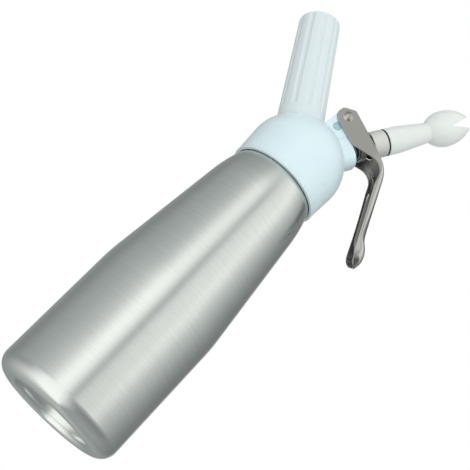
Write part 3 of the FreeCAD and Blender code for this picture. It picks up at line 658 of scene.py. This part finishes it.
def shade_hole(material):
    """Paint shade into the head's plastic: a deeper colour inside the round hole of its lug."""
    tree = material.node_tree
    base_colour = tree.nodes["Principled BSDF"].inputs["Base Color"]
    plain = base_colour.links[0].from_socket
    side_view = put(add(tree, "ShaderNodeMapping"), Scale=(1.0, 0.0, 1.0))
    link(tree, add(tree, "ShaderNodeTexCoord").outputs["Object"], side_view.inputs["Vector"])
    away = add(tree, "ShaderNodeVectorMath", operation="DISTANCE")
    link(tree, side_view.outputs[0], away.inputs[0])
    away.inputs[1].default_value = HOLE_MIDDLE
    inside = soft_mask(tree, away.outputs["Value"], NO_SHADE_R, FULL_SHADE_R)
    # Painted shade: the plastic inside the hole is blended to a deeper blue.
    link(tree, blend_colours(tree, inside, plain, colour(0.43, 0.605, 0.63)), base_colour)


shade_hole(FINISHES["head_plastic"])
print("hole's middle is", round(HOLE_MIDDLE.z / MM, 1), "mm up")

# %% [markdown]
# Steel pieces share one recipe: a satin skin with hairlines, clouds where it has been handled, and
# bright edges. Turned pieces have hairlines round their arm, so the place is first turned with the
# arm. The knurl is the same steel, but its fine points scatter light, so it is paler and less metallic.

# %% Steels
VALVE_TURN = (0.0, -valve_axis.angle((0, 0, 1)), 0.0)
HOLDER_TURN = (0.0, holder_axis.angle((0, 0, 1)), 0.0)
ROUND_LINES = (400.0, 400.0, 9000.0)
EVEN_GRAIN = (900.0, 900.0, 900.0)
WORN_BRIGHT = colour(0.80, 0.79, 0.77)


def make_steel(name, tone, worn_tone, roughness, grain_scale, grain_turn=NO_TURN, metal=1.0):
    """Brushed or turned steel with brighter edges."""
    material, tree, surface, place = new_finish(name, Metallic=metal)
    grain = use_group(tree, GRAIN, Scratches=0.5)
    link(tree, stretched(tree, place, grain_scale, grain_turn), grain.inputs["Place"])
    edges = use_group(tree, WORN_EDGE, Width=0.0005)
    rubbed = use_group(tree, HANDLING, Size=70.0)
    link(tree, place, rubbed.inputs["Place"])
    link(tree, blend_colours(tree, edges.outputs["Mask"], tone, worn_tone), surface.inputs["Base Color"])
    satin = between(tree, rubbed.outputs["Mask"], roughness, roughness + 0.08)
    polished = math_node(tree, "MULTIPLY", edges.outputs["Mask"], 0.12)
    link(tree, math_node(tree, "SUBTRACT", satin, polished), surface.inputs["Roughness"])
    relief(tree, surface, grain.outputs["Height"], HAIRLINE_DEPTH, 0.4)
    return material


FINISHES["bright_steel"] = make_steel(
    "polished steel", colour(0.50, 0.495, 0.475), WORN_BRIGHT, 0.22, EVEN_GRAIN)
FINISHES["turned_steel"] = make_steel(
    "turned steel", colour(0.52, 0.515, 0.50), WORN_BRIGHT, 0.30, ROUND_LINES, VALVE_TURN)
FINISHES["knurled_steel"] = make_steel(
    "knurled steel", colour(0.91, 0.91, 0.88), colour(0.96, 0.96, 0.93), 0.42, ROUND_LINES, VALVE_TURN,
    metal=0.85)
FINISHES["charger_steel"] = make_steel(
    "drawn steel", colour(0.60, 0.61, 0.63), colour(0.75, 0.76, 0.78), 0.22, ROUND_LINES, HOLDER_TURN)
FINISHES["dark_ring_metal"] = make_steel(
    "blackened steel", colour(0.05, 0.05, 0.05), colour(0.30, 0.30, 0.30), 0.35, ROUND_LINES, VALVE_TURN)
print("finishes so far:", len(FINISHES))

# %% [markdown]
# The lever is tumbled with stones after pressing. Its flat ears stay satin and the rounded handle comes
# out nearly polished. The channel inside the handle is rougher and gets painted shade, a darker colour
# where little light reaches. Masks by place tell the three apart, so one finish covers the whole strip
# without a seam.

# %% Where the lever is handle and channel
HANDLE_SLOPE = math.atan(0.415)
BEND_CORNER = (44.8, 245.0)
SHEET = 1.1
POLISH_STARTS, POLISH_IS_FULL = 30.0, 44.0
CHANNEL_HALF = 7.15
CHANNEL_BLUR = 0.25


def handle_masks(tree, place):
    """Where the lever is handle, and where it is the channel inside the handle."""
    split = add(tree, "ShaderNodeSeparateXYZ")
    link(tree, place, split.inputs[0])
    handle = soft_mask(tree, split.outputs["X"], POLISH_STARTS * MM, POLISH_IS_FULL * MM)
    outwards = (math.cos(HANDLE_SLOPE), 0.0, math.sin(HANDLE_SLOPE))
    level = add(tree, "ShaderNodeVectorMath", operation="DOT_PRODUCT")
    link(tree, place, level.inputs[0])
    level.inputs[1].default_value = outwards
    back_level = BEND_CORNER[0] * outwards[0] + BEND_CORNER[1] * outwards[2]
    under_back = soft_mask(tree, level.outputs["Value"],
                           (back_level - 0.2 * SHEET) * MM, (back_level - 0.6 * SHEET) * MM)
    between_sides = soft_mask(tree, math_node(tree, "ABSOLUTE", split.outputs["Y"]),
                              CHANNEL_HALF * MM, (CHANNEL_HALF - CHANNEL_BLUR) * MM)
    inside = math_node(tree, "MULTIPLY", under_back, between_sides)
    return handle, math_node(tree, "MULTIPLY", inside, handle)


print("handle leans", round(math.degrees(HANDLE_SLOPE), 1), "degrees")

# %% [markdown]
# The lever's finish blends from the ears' satin to the handle's polish and then to the channel's rougher
# steel, darkened with painted shade. Its hairlines run along the strip, and they fade where the stones
# have polished them away.

# %% Tumbled steel
LONG_GRAIN = (900.0, 2500.0, 2500.0)


def make_lever_finish():
    """Satin ears, a polished handle and a rougher channel darkened with painted shade."""
    material, tree, surface, place = new_finish("tumbled steel", Metallic=1.0)
    handle, channel = handle_masks(tree, place)
    edges = use_group(tree, WORN_EDGE, Width=0.0004)
    bright = math_node(tree, "MAXIMUM", handle, edges.outputs["Mask"])
    outside = blend_colours(tree, bright, colour(0.42, 0.415, 0.39), colour(0.62, 0.605, 0.575))
    # Painted shade: the channel inside the handle is given a darker colour.
    with_channel_shade = blend_colours(tree, channel, outside, colour(0.25, 0.245, 0.235))
    link(tree, with_channel_shade, surface.inputs["Base Color"])
    rubbed = use_group(tree, HANDLING, Size=70.0)
    link(tree, place, rubbed.inputs["Place"])
    satin = math_node(tree, "ADD", between(tree, handle, 0.36, 0.13), between(tree, channel, 0.0, 0.12))
    dulled = math_node(tree, "ADD", satin, between(tree, rubbed.outputs["Mask"], 0.0, 0.05))
    link(tree, dulled, surface.inputs["Roughness"])
    grain = use_group(tree, GRAIN, Scratches=0.5)
    link(tree, stretched(tree, place, LONG_GRAIN), grain.inputs["Place"])
    fading = between(tree, handle, 1.0, 0.12)
    relief(tree, surface, math_node(tree, "MULTIPLY", grain.outputs["Height"], fading), HAIRLINE_DEPTH, 0.4)
    return material


FINISHES["lever_steel"] = make_lever_finish()
print("finish:", FINISHES["lever_steel"].name)

# %% [markdown]
# The seals are silicone and black rubber. Both are matt with a faint paler bloom on the surface, which
# is the moulded skin again, with a stronger pebble than on the plastics.

# %% Seal rubbers
def make_rubber(name, tone, roughness):
    """Seal rubber or silicone: matt, with a faint bloom."""
    material, tree, surface, place = new_finish(name, Specular_IOR_Level=0.4)
    skin = use_group(tree, SKIN, Pebble=0.8)
    link(tree, place, skin.inputs["Place"])
    bloom = colour(*[min(1.0, value * 1.25 + 0.01) for value in tone[:3]])
    link(tree, blend_colours(tree, skin.outputs["Flow"], tone, bloom), surface.inputs["Base Color"])
    matt = between(tree, skin.outputs["Flow"], roughness - 0.05, roughness + 0.08)
    link(tree, matt, surface.inputs["Roughness"])
    relief(tree, surface, skin.outputs["Height"], BLOOM_DEPTH, 0.4)
    return material


FINISHES["silicone"] = make_rubber("clear silicone", colour(0.72, 0.72, 0.69), 0.42)
FINISHES["black_rubber"] = make_rubber("black seal rubber", colour(0.012, 0.012, 0.012), 0.50)
print("finishes:", len(FINISHES))

# %% [markdown]
# Every piece of the construction model takes the finish of its slot. A surface that is smooth in
# steel should be smooth here too, so its normals are kept as they came.

# %% Dress the construction model
slot_of = {entry["node"]: entry["material_slot"] for entry in frame["record"]["subparts"]}
for node_name, piece in nodes.items():
    piece.data.materials.clear()
    piece.data.materials.append(FINISHES[slot_of[node_name]])
print("dressed:", len(nodes))

# %% [markdown]
# Threads, the knurl and the spring all go round an arm. Each is drawn about an upright line, with its
# stations as heights in millimetres, and then carried onto its own arm.

# %% Pieces that go round an arm
def onto_arm(start, axis):
    """Matrix that carries a piece drawn about +Z in millimetres onto an arm."""
    lean = Vector((0, 0, 1)).rotation_difference(axis)
    return Matrix.Translation(start) @ lean.to_matrix().to_4x4() @ Matrix.Scale(MM, 4)


ON_BOTTLE = onto_arm(Vector((0, 0, 0)), Vector((0, 0, 1)))
ON_VALVE = onto_arm(valve_start, valve_axis)
ON_HOLDER = onto_arm(holder_start, holder_axis)


def stations(node_name, place):
    """How far a node reaches along its arm, in millimetres from the arm's start."""
    back = place.inverted()
    heights = [(back @ vertex.co).z for vertex in nodes[node_name].data.vertices]
    return min(heights), max(heights)


def add_piece(name, corners, faces, place, body, slot, smooth=True):
    """A mesh piece that rides on a body and takes the finish of a slot."""
    mesh = bpy.data.meshes.new(name)
    mesh.from_pydata([place @ Vector(corner) for corner in corners], [], faces)
    mesh.update()
    for polygon in mesh.polygons:
        polygon.use_smooth = smooth
    piece = bpy.data.objects.new(name, mesh)
    bpy.context.scene.collection.objects.link(piece)
    mesh.materials.append(FINISHES[slot])
    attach(piece, body)
    return piece


def on_circle(radius, angle, height):
    """A corner at an angle round the upright line."""
    return (radius * math.cos(angle), radius * math.sin(angle), height)


def tube_faces(rows, around, closed=False):
    """Faces of a skin of rows that each go round; a closed one joins its last row to its first."""
    faces = []
    for row in range(rows if closed else rows - 1):
        here, there = row * around, (row + 1) % rows * around
        for column in range(around):
            after = (column + 1) % around
            faces.append((here + column, there + column, there + after, here + after))
    return faces


collar_reach = [round(value, 1) for value in stations("nozzle_collar", ON_VALVE)]
print("collar reaches from", collar_reach, "mm")

# %% [markdown]
# A screw thread is one ridge that climbs by its pitch each turn. A ridge with four corners to its
# section, carried round step by step, gives it, and its height fades where it starts and ends as a
# cut or moulded thread does. The outer and the inner thread of a pair climb alike but half a pitch
# apart, so they stay clear of each other however far the joint is unscrewed.

# %% Screw threads
THREAD_STEPS = 40
THREAD_FADE = 0.15
THREAD_SINK = 0.06
FOOT_SHARE = 0.30
CREST_SHARE = 0.09


def add_thread(name, place, body, slot, root_r, crest_r, pitch, reach, zero):
    """Right-hand ridge over a reach of stations; zero is its station at angle 0."""
    first, last = [(station - zero) / pitch for station in reach]
    steps = int((last - first) * THREAD_STEPS)
    sunk_r = root_r - math.copysign(THREAD_SINK, crest_r - root_r)
    corners = []
    for step in range(steps + 1):
        turn = first + (last - first) * step / steps
        full = min(1.0, (turn - first) / THREAD_FADE, (last - turn) / THREAD_FADE)
        ridge_r = sunk_r + (crest_r - sunk_r) * full
        station = zero + turn * pitch
        section = ((sunk_r, -FOOT_SHARE), (ridge_r, -CREST_SHARE),
                   (ridge_r, CREST_SHARE), (sunk_r, FOOT_SHARE))
        for radius, share in section:
            corners.append(on_circle(radius, turn * math.tau, station + share * pitch))
    faces = tube_faces(steps + 1, len(section))
    return add_piece(name, corners, faces, place, body, slot, smooth=False)


# Name, arm, body, slot, root radius, crest radius, pitch, reach of stations, station at angle 0.
THREADS = [
    ("neck_thread", ON_BOTTLE, "bottle_body", "bottle_aluminium", 24.0, 25.3, 4.0, (194.6, 204.6), 194.0),
    ("head_thread", ON_BOTTLE, "head", "head_plastic", 25.9, 24.6, 4.0, (196.2, 205.2), 196.0),
    ("socket_thread", ON_HOLDER, "head", "turned_steel", 10.9, 11.8, 2.5, (32.6, 42.0), 32.0),
    ("holder_thread", ON_HOLDER, "holder", "holder_plastic", 12.2, 11.2, 2.5, (31.5, 42.6), 33.25),
    ("collar_thread", ON_VALVE, "valve", "turned_steel", 6.1, 6.9, 2.0, (64.9, 69.9), 64.0),
    ("nozzle_thread", ON_VALVE, "nozzle", "nozzle_plastic", 7.3, 6.4, 2.0, (65.0, 70.2), 65.0),
]
for thread in THREADS:
    add_thread(*thread)
print("threads:", len(THREADS))

# %% [markdown]
# The collar is knurled, so fingers can turn it: two sets of fine grooves cross at a slant and leave
# small diamonds. Each corner of a fine tube is pushed out by how far it lies from the nearest groove
# of both sets. The tube's rows climb, while a thread's go round, so its faces are turned about to
# look outwards.

# %% Knurled band of the collar
KNURL_COUNT = 56
KNURL_RISE = 1.25
KNURL_BAND = (53.3, 62.6)
KNURL_LOW_R = 8.52
KNURL_HIGH_R = 8.72
KNURL_SAMPLES = 4


def add_knurl():
    """Tube of small diamonds round the collar."""
    around = KNURL_COUNT * KNURL_SAMPLES
    length = KNURL_BAND[1] - KNURL_BAND[0]
    rows = round(length / KNURL_RISE * KNURL_SAMPLES)
    corners = []
    for row in range(rows + 1):
        station = KNURL_BAND[0] + length * row / rows
        for column in range(around):
            tooth = column / KNURL_SAMPLES
            climb = station / KNURL_RISE
            heights = [abs(2 * ((tooth + side * climb) % 1.0) - 1) for side in (-1, 1)]
            edge = 0 if row in (0, rows) else 1
            radius = KNURL_LOW_R + (KNURL_HIGH_R - KNURL_LOW_R) * min(heights) * edge
            corners.append(on_circle(radius, math.tau * column / around, station))
    faces = [face[:1] + face[:0:-1] for face in tube_faces(rows + 1, around)]
    band = add_piece("collar_knurl", corners, faces, ON_VALVE, "valve", "turned_steel", smooth=False)
    band.data.materials[0] = FINISHES["knurled_steel"]
    return band


knurl = add_knurl()
print("knurl faces:", len(knurl.data.polygons))

# %% [markdown]
# The head's skirt ends in a slim rolled bead, and a second one frames the seat of the charger holder.
# Both are small rounds carried once about their arm, sunk halfway into the wall they belong to.

# %% Beads on the head
BEAD_STEPS, BEAD_SECTION = 160, 14
SKIRT_R, SKIRT_BEAD_R = 29.25, 0.95
SEAT_R, SEAT_STATION, SEAT_BEAD_R = 15.15, 28.35, 0.5


def add_bead(name, place, ring_r, station, bead_r):
    """Round bead about an arm, in the head's own plastic."""
    corners = []
    for step in range(BEAD_STEPS):
        for side in range(BEAD_SECTION):
            swing = math.tau * side / BEAD_SECTION
            radius = ring_r + bead_r * math.cos(swing)
            height = station + bead_r * math.sin(swing)
            corners.append(on_circle(radius, math.tau * step / BEAD_STEPS, height))
    faces = tube_faces(BEAD_STEPS, BEAD_SECTION, closed=True)
    return add_piece(name, corners, faces, place, "head", "head_plastic")


skirt_low, _ = stations("head_housing", ON_BOTTLE)
add_bead("skirt_bead", ON_BOTTLE, SKIRT_R, skirt_low + SKIRT_BEAD_R, SKIRT_BEAD_R)
add_bead("seat_bead", ON_HOLDER, SEAT_R, SEAT_STATION, SEAT_BEAD_R)
print("skirt bead stands", round(skirt_low, 1), "mm up")

# %% [markdown]
# The valve's spring is round wire with closed ends: its first and last turn lie flat so that it stands
# square. A curve through points on a helix, given a round bevel, makes such a wire.

# %% The spring's wire
WIRE_R = 0.6
SPRING_R = 6.0
SPRING_TURNS = 6
SPRING_POINTS = 16


def spring_line(low, high):
    """Points of the wire's middle: flat end turns and an even rise between them."""
    closed = 2 * WIRE_R
    rise = (high - low - 2 * closed) / (SPRING_TURNS - 2)
    points = []
    for step in range(SPRING_TURNS * SPRING_POINTS + 1):
        turn = step / SPRING_POINTS
        open_turns = min(max(turn - 1, 0), SPRING_TURNS - 2)
        end_turns = min(turn, 1) + max(turn - SPRING_TURNS + 1, 0)
        points.append(on_circle(SPRING_R, turn * math.tau, low + open_turns * rise + end_turns * closed))
    return points


def wire_mesh(points):
    """Mesh of round wire along points of the valve's arm."""
    curve = bpy.data.curves.new("spring wire", "CURVE")
    curve.dimensions = "3D"
    curve.bevel_depth = WIRE_R * MM
    curve.bevel_resolution = 3
    curve.use_fill_caps = True
    spline = curve.splines.new("NURBS")
    spline.points.add(len(points) - 1)
    for point, spot in zip(spline.points, points):
        point.co = tuple(ON_VALVE @ Vector(spot)) + (1.0,)
    spline.order_u = 3
    spline.use_endpoint_u = True
    wire = bpy.data.objects.new("spring wire", curve)
    bpy.context.scene.collection.objects.link(wire)
    drawn = wire.evaluated_get(bpy.context.evaluated_depsgraph_get())
    mesh = bpy.data.meshes.new_from_object(drawn)
    bpy.data.objects.remove(wire)
    return mesh


spring_foot, spring_cap = stations("valve_spring", ON_VALVE)
print("spring is", round(spring_cap - spring_foot, 1), "mm long")

# %% [markdown]
# The spring shortens as the lever is pulled. A curve can't take part in that, so the wire has become a
# mesh, and the share of its length that it keeps at the valve's full travel is worked out.

# %% Valve spring
def add_spring(foot, cap):
    """Wire spring that stands in the boss; gives back how much of its length it keeps at the valve's full travel.
    """
    mesh = wire_mesh(spring_line(foot + WIRE_R, cap - WIRE_R))
    mesh.materials.clear()
    mesh.materials.append(FINISHES["bright_steel"])
    for polygon in mesh.polygons:
        polygon.use_smooth = True
    spring = bpy.data.objects.new("coil_spring", mesh)
    bpy.context.scene.collection.objects.link(spring)
    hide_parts("valve_spring")
    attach(spring, "head")
    travel = max(abs(limit) for limit in joints["valve_slide"]["range_m"]) / MM
    keep = 1 - travel / (cap - foot)
    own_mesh(spring)
    return keep


print("spring keeps", round(add_spring(spring_foot, spring_cap), 3), "of its length")

# %% [markdown]
# The real lever is pressed from one sheet, so its handle has no sharp folds: the sides roll into the
# back, and the end is a small round cup. The solid lever has the same outline and plainer folds, so
# a finer skin takes its place. Two lines in the side view guide it, the cut edge and the back, and
# every row of the skin runs from one to the other. First come the lines, with their corners rounded.

# %% The lever's two guide lines
HANDLE_LENGTH = 65.3
STRAIGHT_FROM = 14.0
GUIDE_SPACING = 0.4
ARC_STEPS = 8
SHORTEST = 1e-9


def handle_spot(along, across):
    """(x, z) in the handle's own frame: along it from the bend, across it outwards."""
    return (BEND_CORNER[0] + along * math.sin(HANDLE_SLOPE) + across * math.cos(HANDLE_SLOPE),
            BEND_CORNER[1] - along * math.cos(HANDLE_SLOPE) + across * math.sin(HANDLE_SLOPE))


def evenly(path):
    """The same path with points at even distances."""
    lengths = [0.0]
    for one, two in zip(path, path[1:]):
        lengths.append(lengths[-1] + (two - one).length)
    count = max(2, round(lengths[-1] / GUIDE_SPACING))
    result, piece = [], 0
    for step in range(count + 1):
        target = lengths[-1] * step / count
        while piece < len(path) - 2 and lengths[piece + 1] < target:
            piece += 1
        share = (target - lengths[piece]) / max(SHORTEST, lengths[piece + 1] - lengths[piece])
        result.append(path[piece].lerp(path[piece + 1], min(1.0, share)))
    return result


def rounded_line(corners):
    """Evenly spaced points on an open line of (x, z, radius) corners."""
    spots = [Vector(corner[:2]) for corner in corners]
    radii = [corner[2] for corner in corners[1:-1]]
    path = [spots[0]]
    for before, corner, after, radius in zip(spots, spots[1:], spots[2:], radii):
        arrive, leave = (corner - before).normalized(), (after - corner).normalized()
        swing = arrive.angle_signed(leave)
        reach = radius * math.tan(abs(swing) / 2)
        side = Vector((arrive.y, -arrive.x)) * math.copysign(1, swing)
        centre = corner - arrive * reach + side * radius
        for step in range(ARC_STEPS + 1):
            spoke = Matrix.Rotation(-swing * step / ARC_STEPS, 2) @ -side
            path.append(centre + spoke * radius)
    path.append(spots[-1])
    return evenly(path)


HEEL = (-2.1, 253.4, 0.0)
ears_back = rounded_line([
    HEEL, (-1.2, 256.5, 4.0), (5.9, 260.4, 1.0), BEND_CORNER + (20.0,),
    handle_spot(STRAIGHT_FROM, 0.3) + (0.0,)])
ears_front = rounded_line([
    HEEL, (-2.0, 250.5, 4.0), (2.2, 246.5, 5.0), (18.6, 240.7, 12.0), (40.3, 245.9, 9.0),
    handle_spot(12.0, -4.7) + (0.0,)])
print("guide points on the ears:", len(ears_back), "and", len(ears_front))

# %% [markdown]
# Down the handle the rows are square to it, so its back line, its cut edge, its half-width and the
# roll of its fold are four short tables over the distance from the bend. A table is read along a
# smooth curve through its rows, so that light runs down the handle without a kink.

# %% The handle's tables
BACK_LINE = [(14, 0.30), (44, 0.35), (48, 0.75), (51, 1.7), (54, 2.65), (57, 3.05), (60, 2.95),
             (62.5, 2.35), (64.2, 1.35), (65.3, 0.0)]
CUT_LINE = [(14, -4.6), (30, -4.35), (55, -4.45), (58, -4.3), (60.5, -3.75), (62.5, -2.95),
            (64.2, -1.9), (65.3, 0.1)]
HALF_WIDTHS = [(-9, 10.95), (-3, 10.9), (2, 10.3), (7, 9.2), (12, 8.45), (28, 7.75), (42, 7.25),
               (48, 7.35), (53, 7.9), (57, 8.15), (60, 7.7), (62.5, 6.3), (64.2, 4.3), (65.3, 0.6)]
FOLD_ROLLS = [(-14, 0.35), (-8, 0.9), (-2, 2.4), (6, 3.7), (14, 4.0), (50, 4.0), (57, 4.6), (62, 4.0),
              (65.3, 0.3)]


def read_table(table, at):
    """Smooth value of a table at a distance, held at its two ends."""
    if at <= table[0][0]:
        return table[0][1]
    if at >= table[-1][0]:
        return table[-1][1]
    after = next(index for index, row in enumerate(table) if row[0] > at)
    slopes = []
    for index in (after - 1, after):
        low, high = table[max(index - 1, 0)], table[min(index + 1, len(table) - 1)]
        slopes.append((high[1] - low[1]) / (high[0] - low[0]))
    (start, low), (end, high) = table[after - 1], table[after]
    length = end - start
    t = (at - start) / length
    rise = high - low
    bow = t * (1 - t) * ((slopes[0] * length - rise) * (1 - t) + (rise - slopes[1] * length) * t)
    return low + rise * t + bow


middle_width = 2 * read_table(HALF_WIDTHS, HANDLE_LENGTH / 2)
print("handle is", round(middle_width, 1), "mm wide halfway down")

# %% [markdown]
# A row of the skin needs three things: its point on the cut edge, its point on the back and, down the
# handle, its distance from the bend. Rows crowd together towards the cup, where the shape is tightest.
# The inner skin ends a little earlier than the outer one, which leaves the sheet's thickness there.

# %% Rows from heel to cup
EAR_ROWS, HANDLE_ROWS = 120, 90
FIRST_EAR_ROW = 3
CUP_CROWDING = 1.5


def distance_from_bend(x, z):
    """How far down the handle a point of the side view lies."""
    return (x - BEND_CORNER[0]) * math.sin(HANDLE_SLOPE) + (BEND_CORNER[1] - z) * math.cos(HANDLE_SLOPE)


def guide_rows(shorter):
    """(cut edge, back, distance) of each row from heel to cup; the cup ends earlier by shorter."""
    rows = []
    for row in range(FIRST_EAR_ROW, EAR_ROWS):
        front = ears_front[round(row * (len(ears_front) - 1) / EAR_ROWS)]
        back = ears_back[round(row * (len(ears_back) - 1) / EAR_ROWS)]
        rows.append((front, back, None))
    length = HANDLE_LENGTH - STRAIGHT_FROM
    for step in range(HANDLE_ROWS + 1):
        place = STRAIGHT_FROM + length * (1 - (1 - step / HANDLE_ROWS) ** CUP_CROWDING)
        drawn_in = place - shorter * (place - STRAIGHT_FROM) / length
        cut = Vector(handle_spot(drawn_in, read_table(CUT_LINE, place)))
        back = Vector(handle_spot(drawn_in, read_table(BACK_LINE, place)))
        rows.append((cut, back, place))
    return rows


print("rows from heel to cup:", len(guide_rows(0.0)))

# %% [markdown]
# One half of a row starts at the cut edge, runs straight up the side, rolls through a quarter turn and
# ends in the middle of the back. The far half is its mirror image.

# %% One row of the lever
SIDE_STEPS, ROLL_STEPS, BACK_STEPS = 8, 10, 5
LEAST_DEPTH_SHARE = 0.6
MOST_ROLL_SHARE = 0.95
LEAST_ROLL = 0.1
LEAST_HALF_WIDTH = 0.05


def half_row(front, back, distance, inset):
    """Points (x, y, z) from the near cut edge to the middle of the back."""
    run = back - front
    deep = max(run.length - inset, run.length * LEAST_DEPTH_SHARE)
    towards_back = run.normalized()

    def half_width(height):
        spot = front + towards_back * height
        at = distance_from_bend(*spot) if distance is None else distance
        return max(LEAST_HALF_WIDTH, read_table(HALF_WIDTHS, at) - inset)

    at_back = distance_from_bend(*back) if distance is None else distance
    wanted = max(read_table(FOLD_ROLLS, at_back) - inset, LEAST_ROLL)
    roll = min(wanted, deep * MOST_ROLL_SHARE, half_width(deep) * MOST_ROLL_SHARE)
    line = [(deep - roll) * step / SIDE_STEPS for step in range(SIDE_STEPS)]
    points = [(height, half_width(height)) for height in line]
    for step in range(ROLL_STEPS + 1):
        swing = math.pi / 2 * step / ROLL_STEPS
        height = deep - roll + roll * math.sin(swing)
        points.append((height, half_width(height) - roll + roll * math.cos(swing)))
    edge = points[-1][1]
    points += [(deep, edge * (1 - step / BACK_STEPS)) for step in range(1, BACK_STEPS + 1)]
    spots = [(front + towards_back * height, width) for height, width in points]
    return [(spot.x, -width, spot.y) for spot, width in spots]


def whole_row(row, inset):
    """A row from the near cut edge over the back to the far one."""
    near = half_row(*row, inset)
    return near + [(x, -y, z) for x, y, z in reversed(near[:-1])]


print("corners in a row:", len(whole_row(guide_rows(0.0)[0], 0.0)))

# %% [markdown]
# The outer skin and the inner one are the same rows with a different inset. Each outer row and its
# inner one make a loop, which closes the sheet at both cut edges, and a face closes it at each end.

# %% The lever's skin
def lever_skin():
    """Corners and faces of the closed sheet before it is trimmed."""
    outer = [whole_row(row, 0.0) for row in guide_rows(0.0)]
    inner = [whole_row(row, SHEET) for row in guide_rows(SHEET)]
    loops = [one + two[::-1] for one, two in zip(outer, inner)]
    around = len(loops[0])
    total = len(loops) * around
    heel_end = tuple(range(around))
    cup_end = tuple(range(total - 1, total - around - 1, -1))
    faces = [heel_end] + tube_faces(len(loops), around) + [cup_end]
    return [corner for loop in loops for corner in loop], faces


skin_corners, skin_faces = lever_skin()
print("lever skin:", len(skin_corners), "corners,", len(skin_faces), "faces")

# %% [markdown]
# The valve passes between the ears, so the back must be open there. Three cutters trim it, as a press
# would: a block between the ears, a round one about the valve and a drill for the pivot. Each reaches
# well past the sheet, so that no thin skin is left.

# %% Cutters
EAR_GAP = 9.85
VALVE_NOTCH_R = 8.6
PIVOT_HOLE_R = 2.5
ROD_SIDES = 96


def cutter(name, corners, faces, place):
    """A closed shape that is only used to cut."""
    mesh = bpy.data.meshes.new(name)
    mesh.from_pydata([place @ Vector(corner) for corner in corners], [], faces)
    piece = bpy.data.objects.new(name, mesh)
    bpy.context.scene.collection.objects.link(piece)
    return piece


def rod(name, radius, low, high, place):
    """A round cutter about an upright line."""
    angles = [math.tau * side / ROD_SIDES for side in range(ROD_SIDES)]
    corners = [on_circle(radius, angle, height) for height in (low, high) for angle in angles]
    faces = [tuple(range(ROD_SIDES))[::-1], tuple(range(ROD_SIDES, 2 * ROD_SIDES))]
    for side in range(ROD_SIDES):
        after = (side + 1) % ROD_SIDES
        faces.append((side, after, ROD_SIDES + after, ROD_SIDES + side))
    return cutter(name, corners, faces, place)


def block(name, low, high, place):
    """A square cutter between two corners."""
    corners = [(x, y, z) for x in (low[0], high[0]) for y in (low[1], high[1]) for z in (low[2], high[2])]
    faces = [(0, 1, 3, 2), (4, 6, 7, 5), (0, 4, 5, 1), (2, 3, 7, 6), (0, 2, 6, 4), (1, 5, 7, 3)]
    return cutter(name, corners, faces, place)


def lever_cutters():
    """The gap between the ears, the notch for the valve and the hole for the pivot."""
    pivot = Vector(joints["lever_pull"]["pos_m"])
    on_pivot = onto_arm(Vector((pivot.x, 0, pivot.z)), Vector((0, 1, 0)))
    return [
        block("ear gap cutter", (-60, -EAR_GAP, -20), (0, EAR_GAP, 90), ON_VALVE),
        rod("valve notch cutter", VALVE_NOTCH_R, -20, 110, ON_VALVE),
        rod("pivot drill", PIVOT_HOLE_R, -20, 20, on_pivot)]


cutters = lever_cutters()
print("cutters:", [tool.name for tool in cutters])

# %% [markdown]
# An exact boolean leaves clean edges where the cutters pass. The folds have to look soft and the cut
# edges crisp, so only the edges that turn sharply are marked sharp.

# %% Trim the lever and put it in place
CREASE = math.radians(38)


def trimmed(piece, cutters):
    """Cut the piece by each cutter, keep the result and drop the cutters."""
    for tool in cutters:
        cut = piece.modifiers.new(tool.name, "BOOLEAN")
        cut.operation, cut.solver, cut.object = "DIFFERENCE", "EXACT", tool
    mesh = bpy.data.meshes.new_from_object(piece.evaluated_get(bpy.context.evaluated_depsgraph_get()))
    piece.modifiers.clear()
    piece.data = mesh
    for tool in cutters:
        bpy.data.objects.remove(tool)


def add_lever():
    """Pressed lever: skin, trimmed openings, soft folds and crisp cut edges."""
    in_metres = Matrix.Scale(MM, 4)
    lever = add_piece("pressed_lever", skin_corners, skin_faces, in_metres, "lever", "lever_steel")
    trimmed(lever, cutters)
    lever.data.set_sharp_from_angle(angle=CREASE)
    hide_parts("lever")
    return lever


pressed_lever = add_lever()
print("pressed lever:", len(pressed_lever.data.polygons), "faces after trimming")
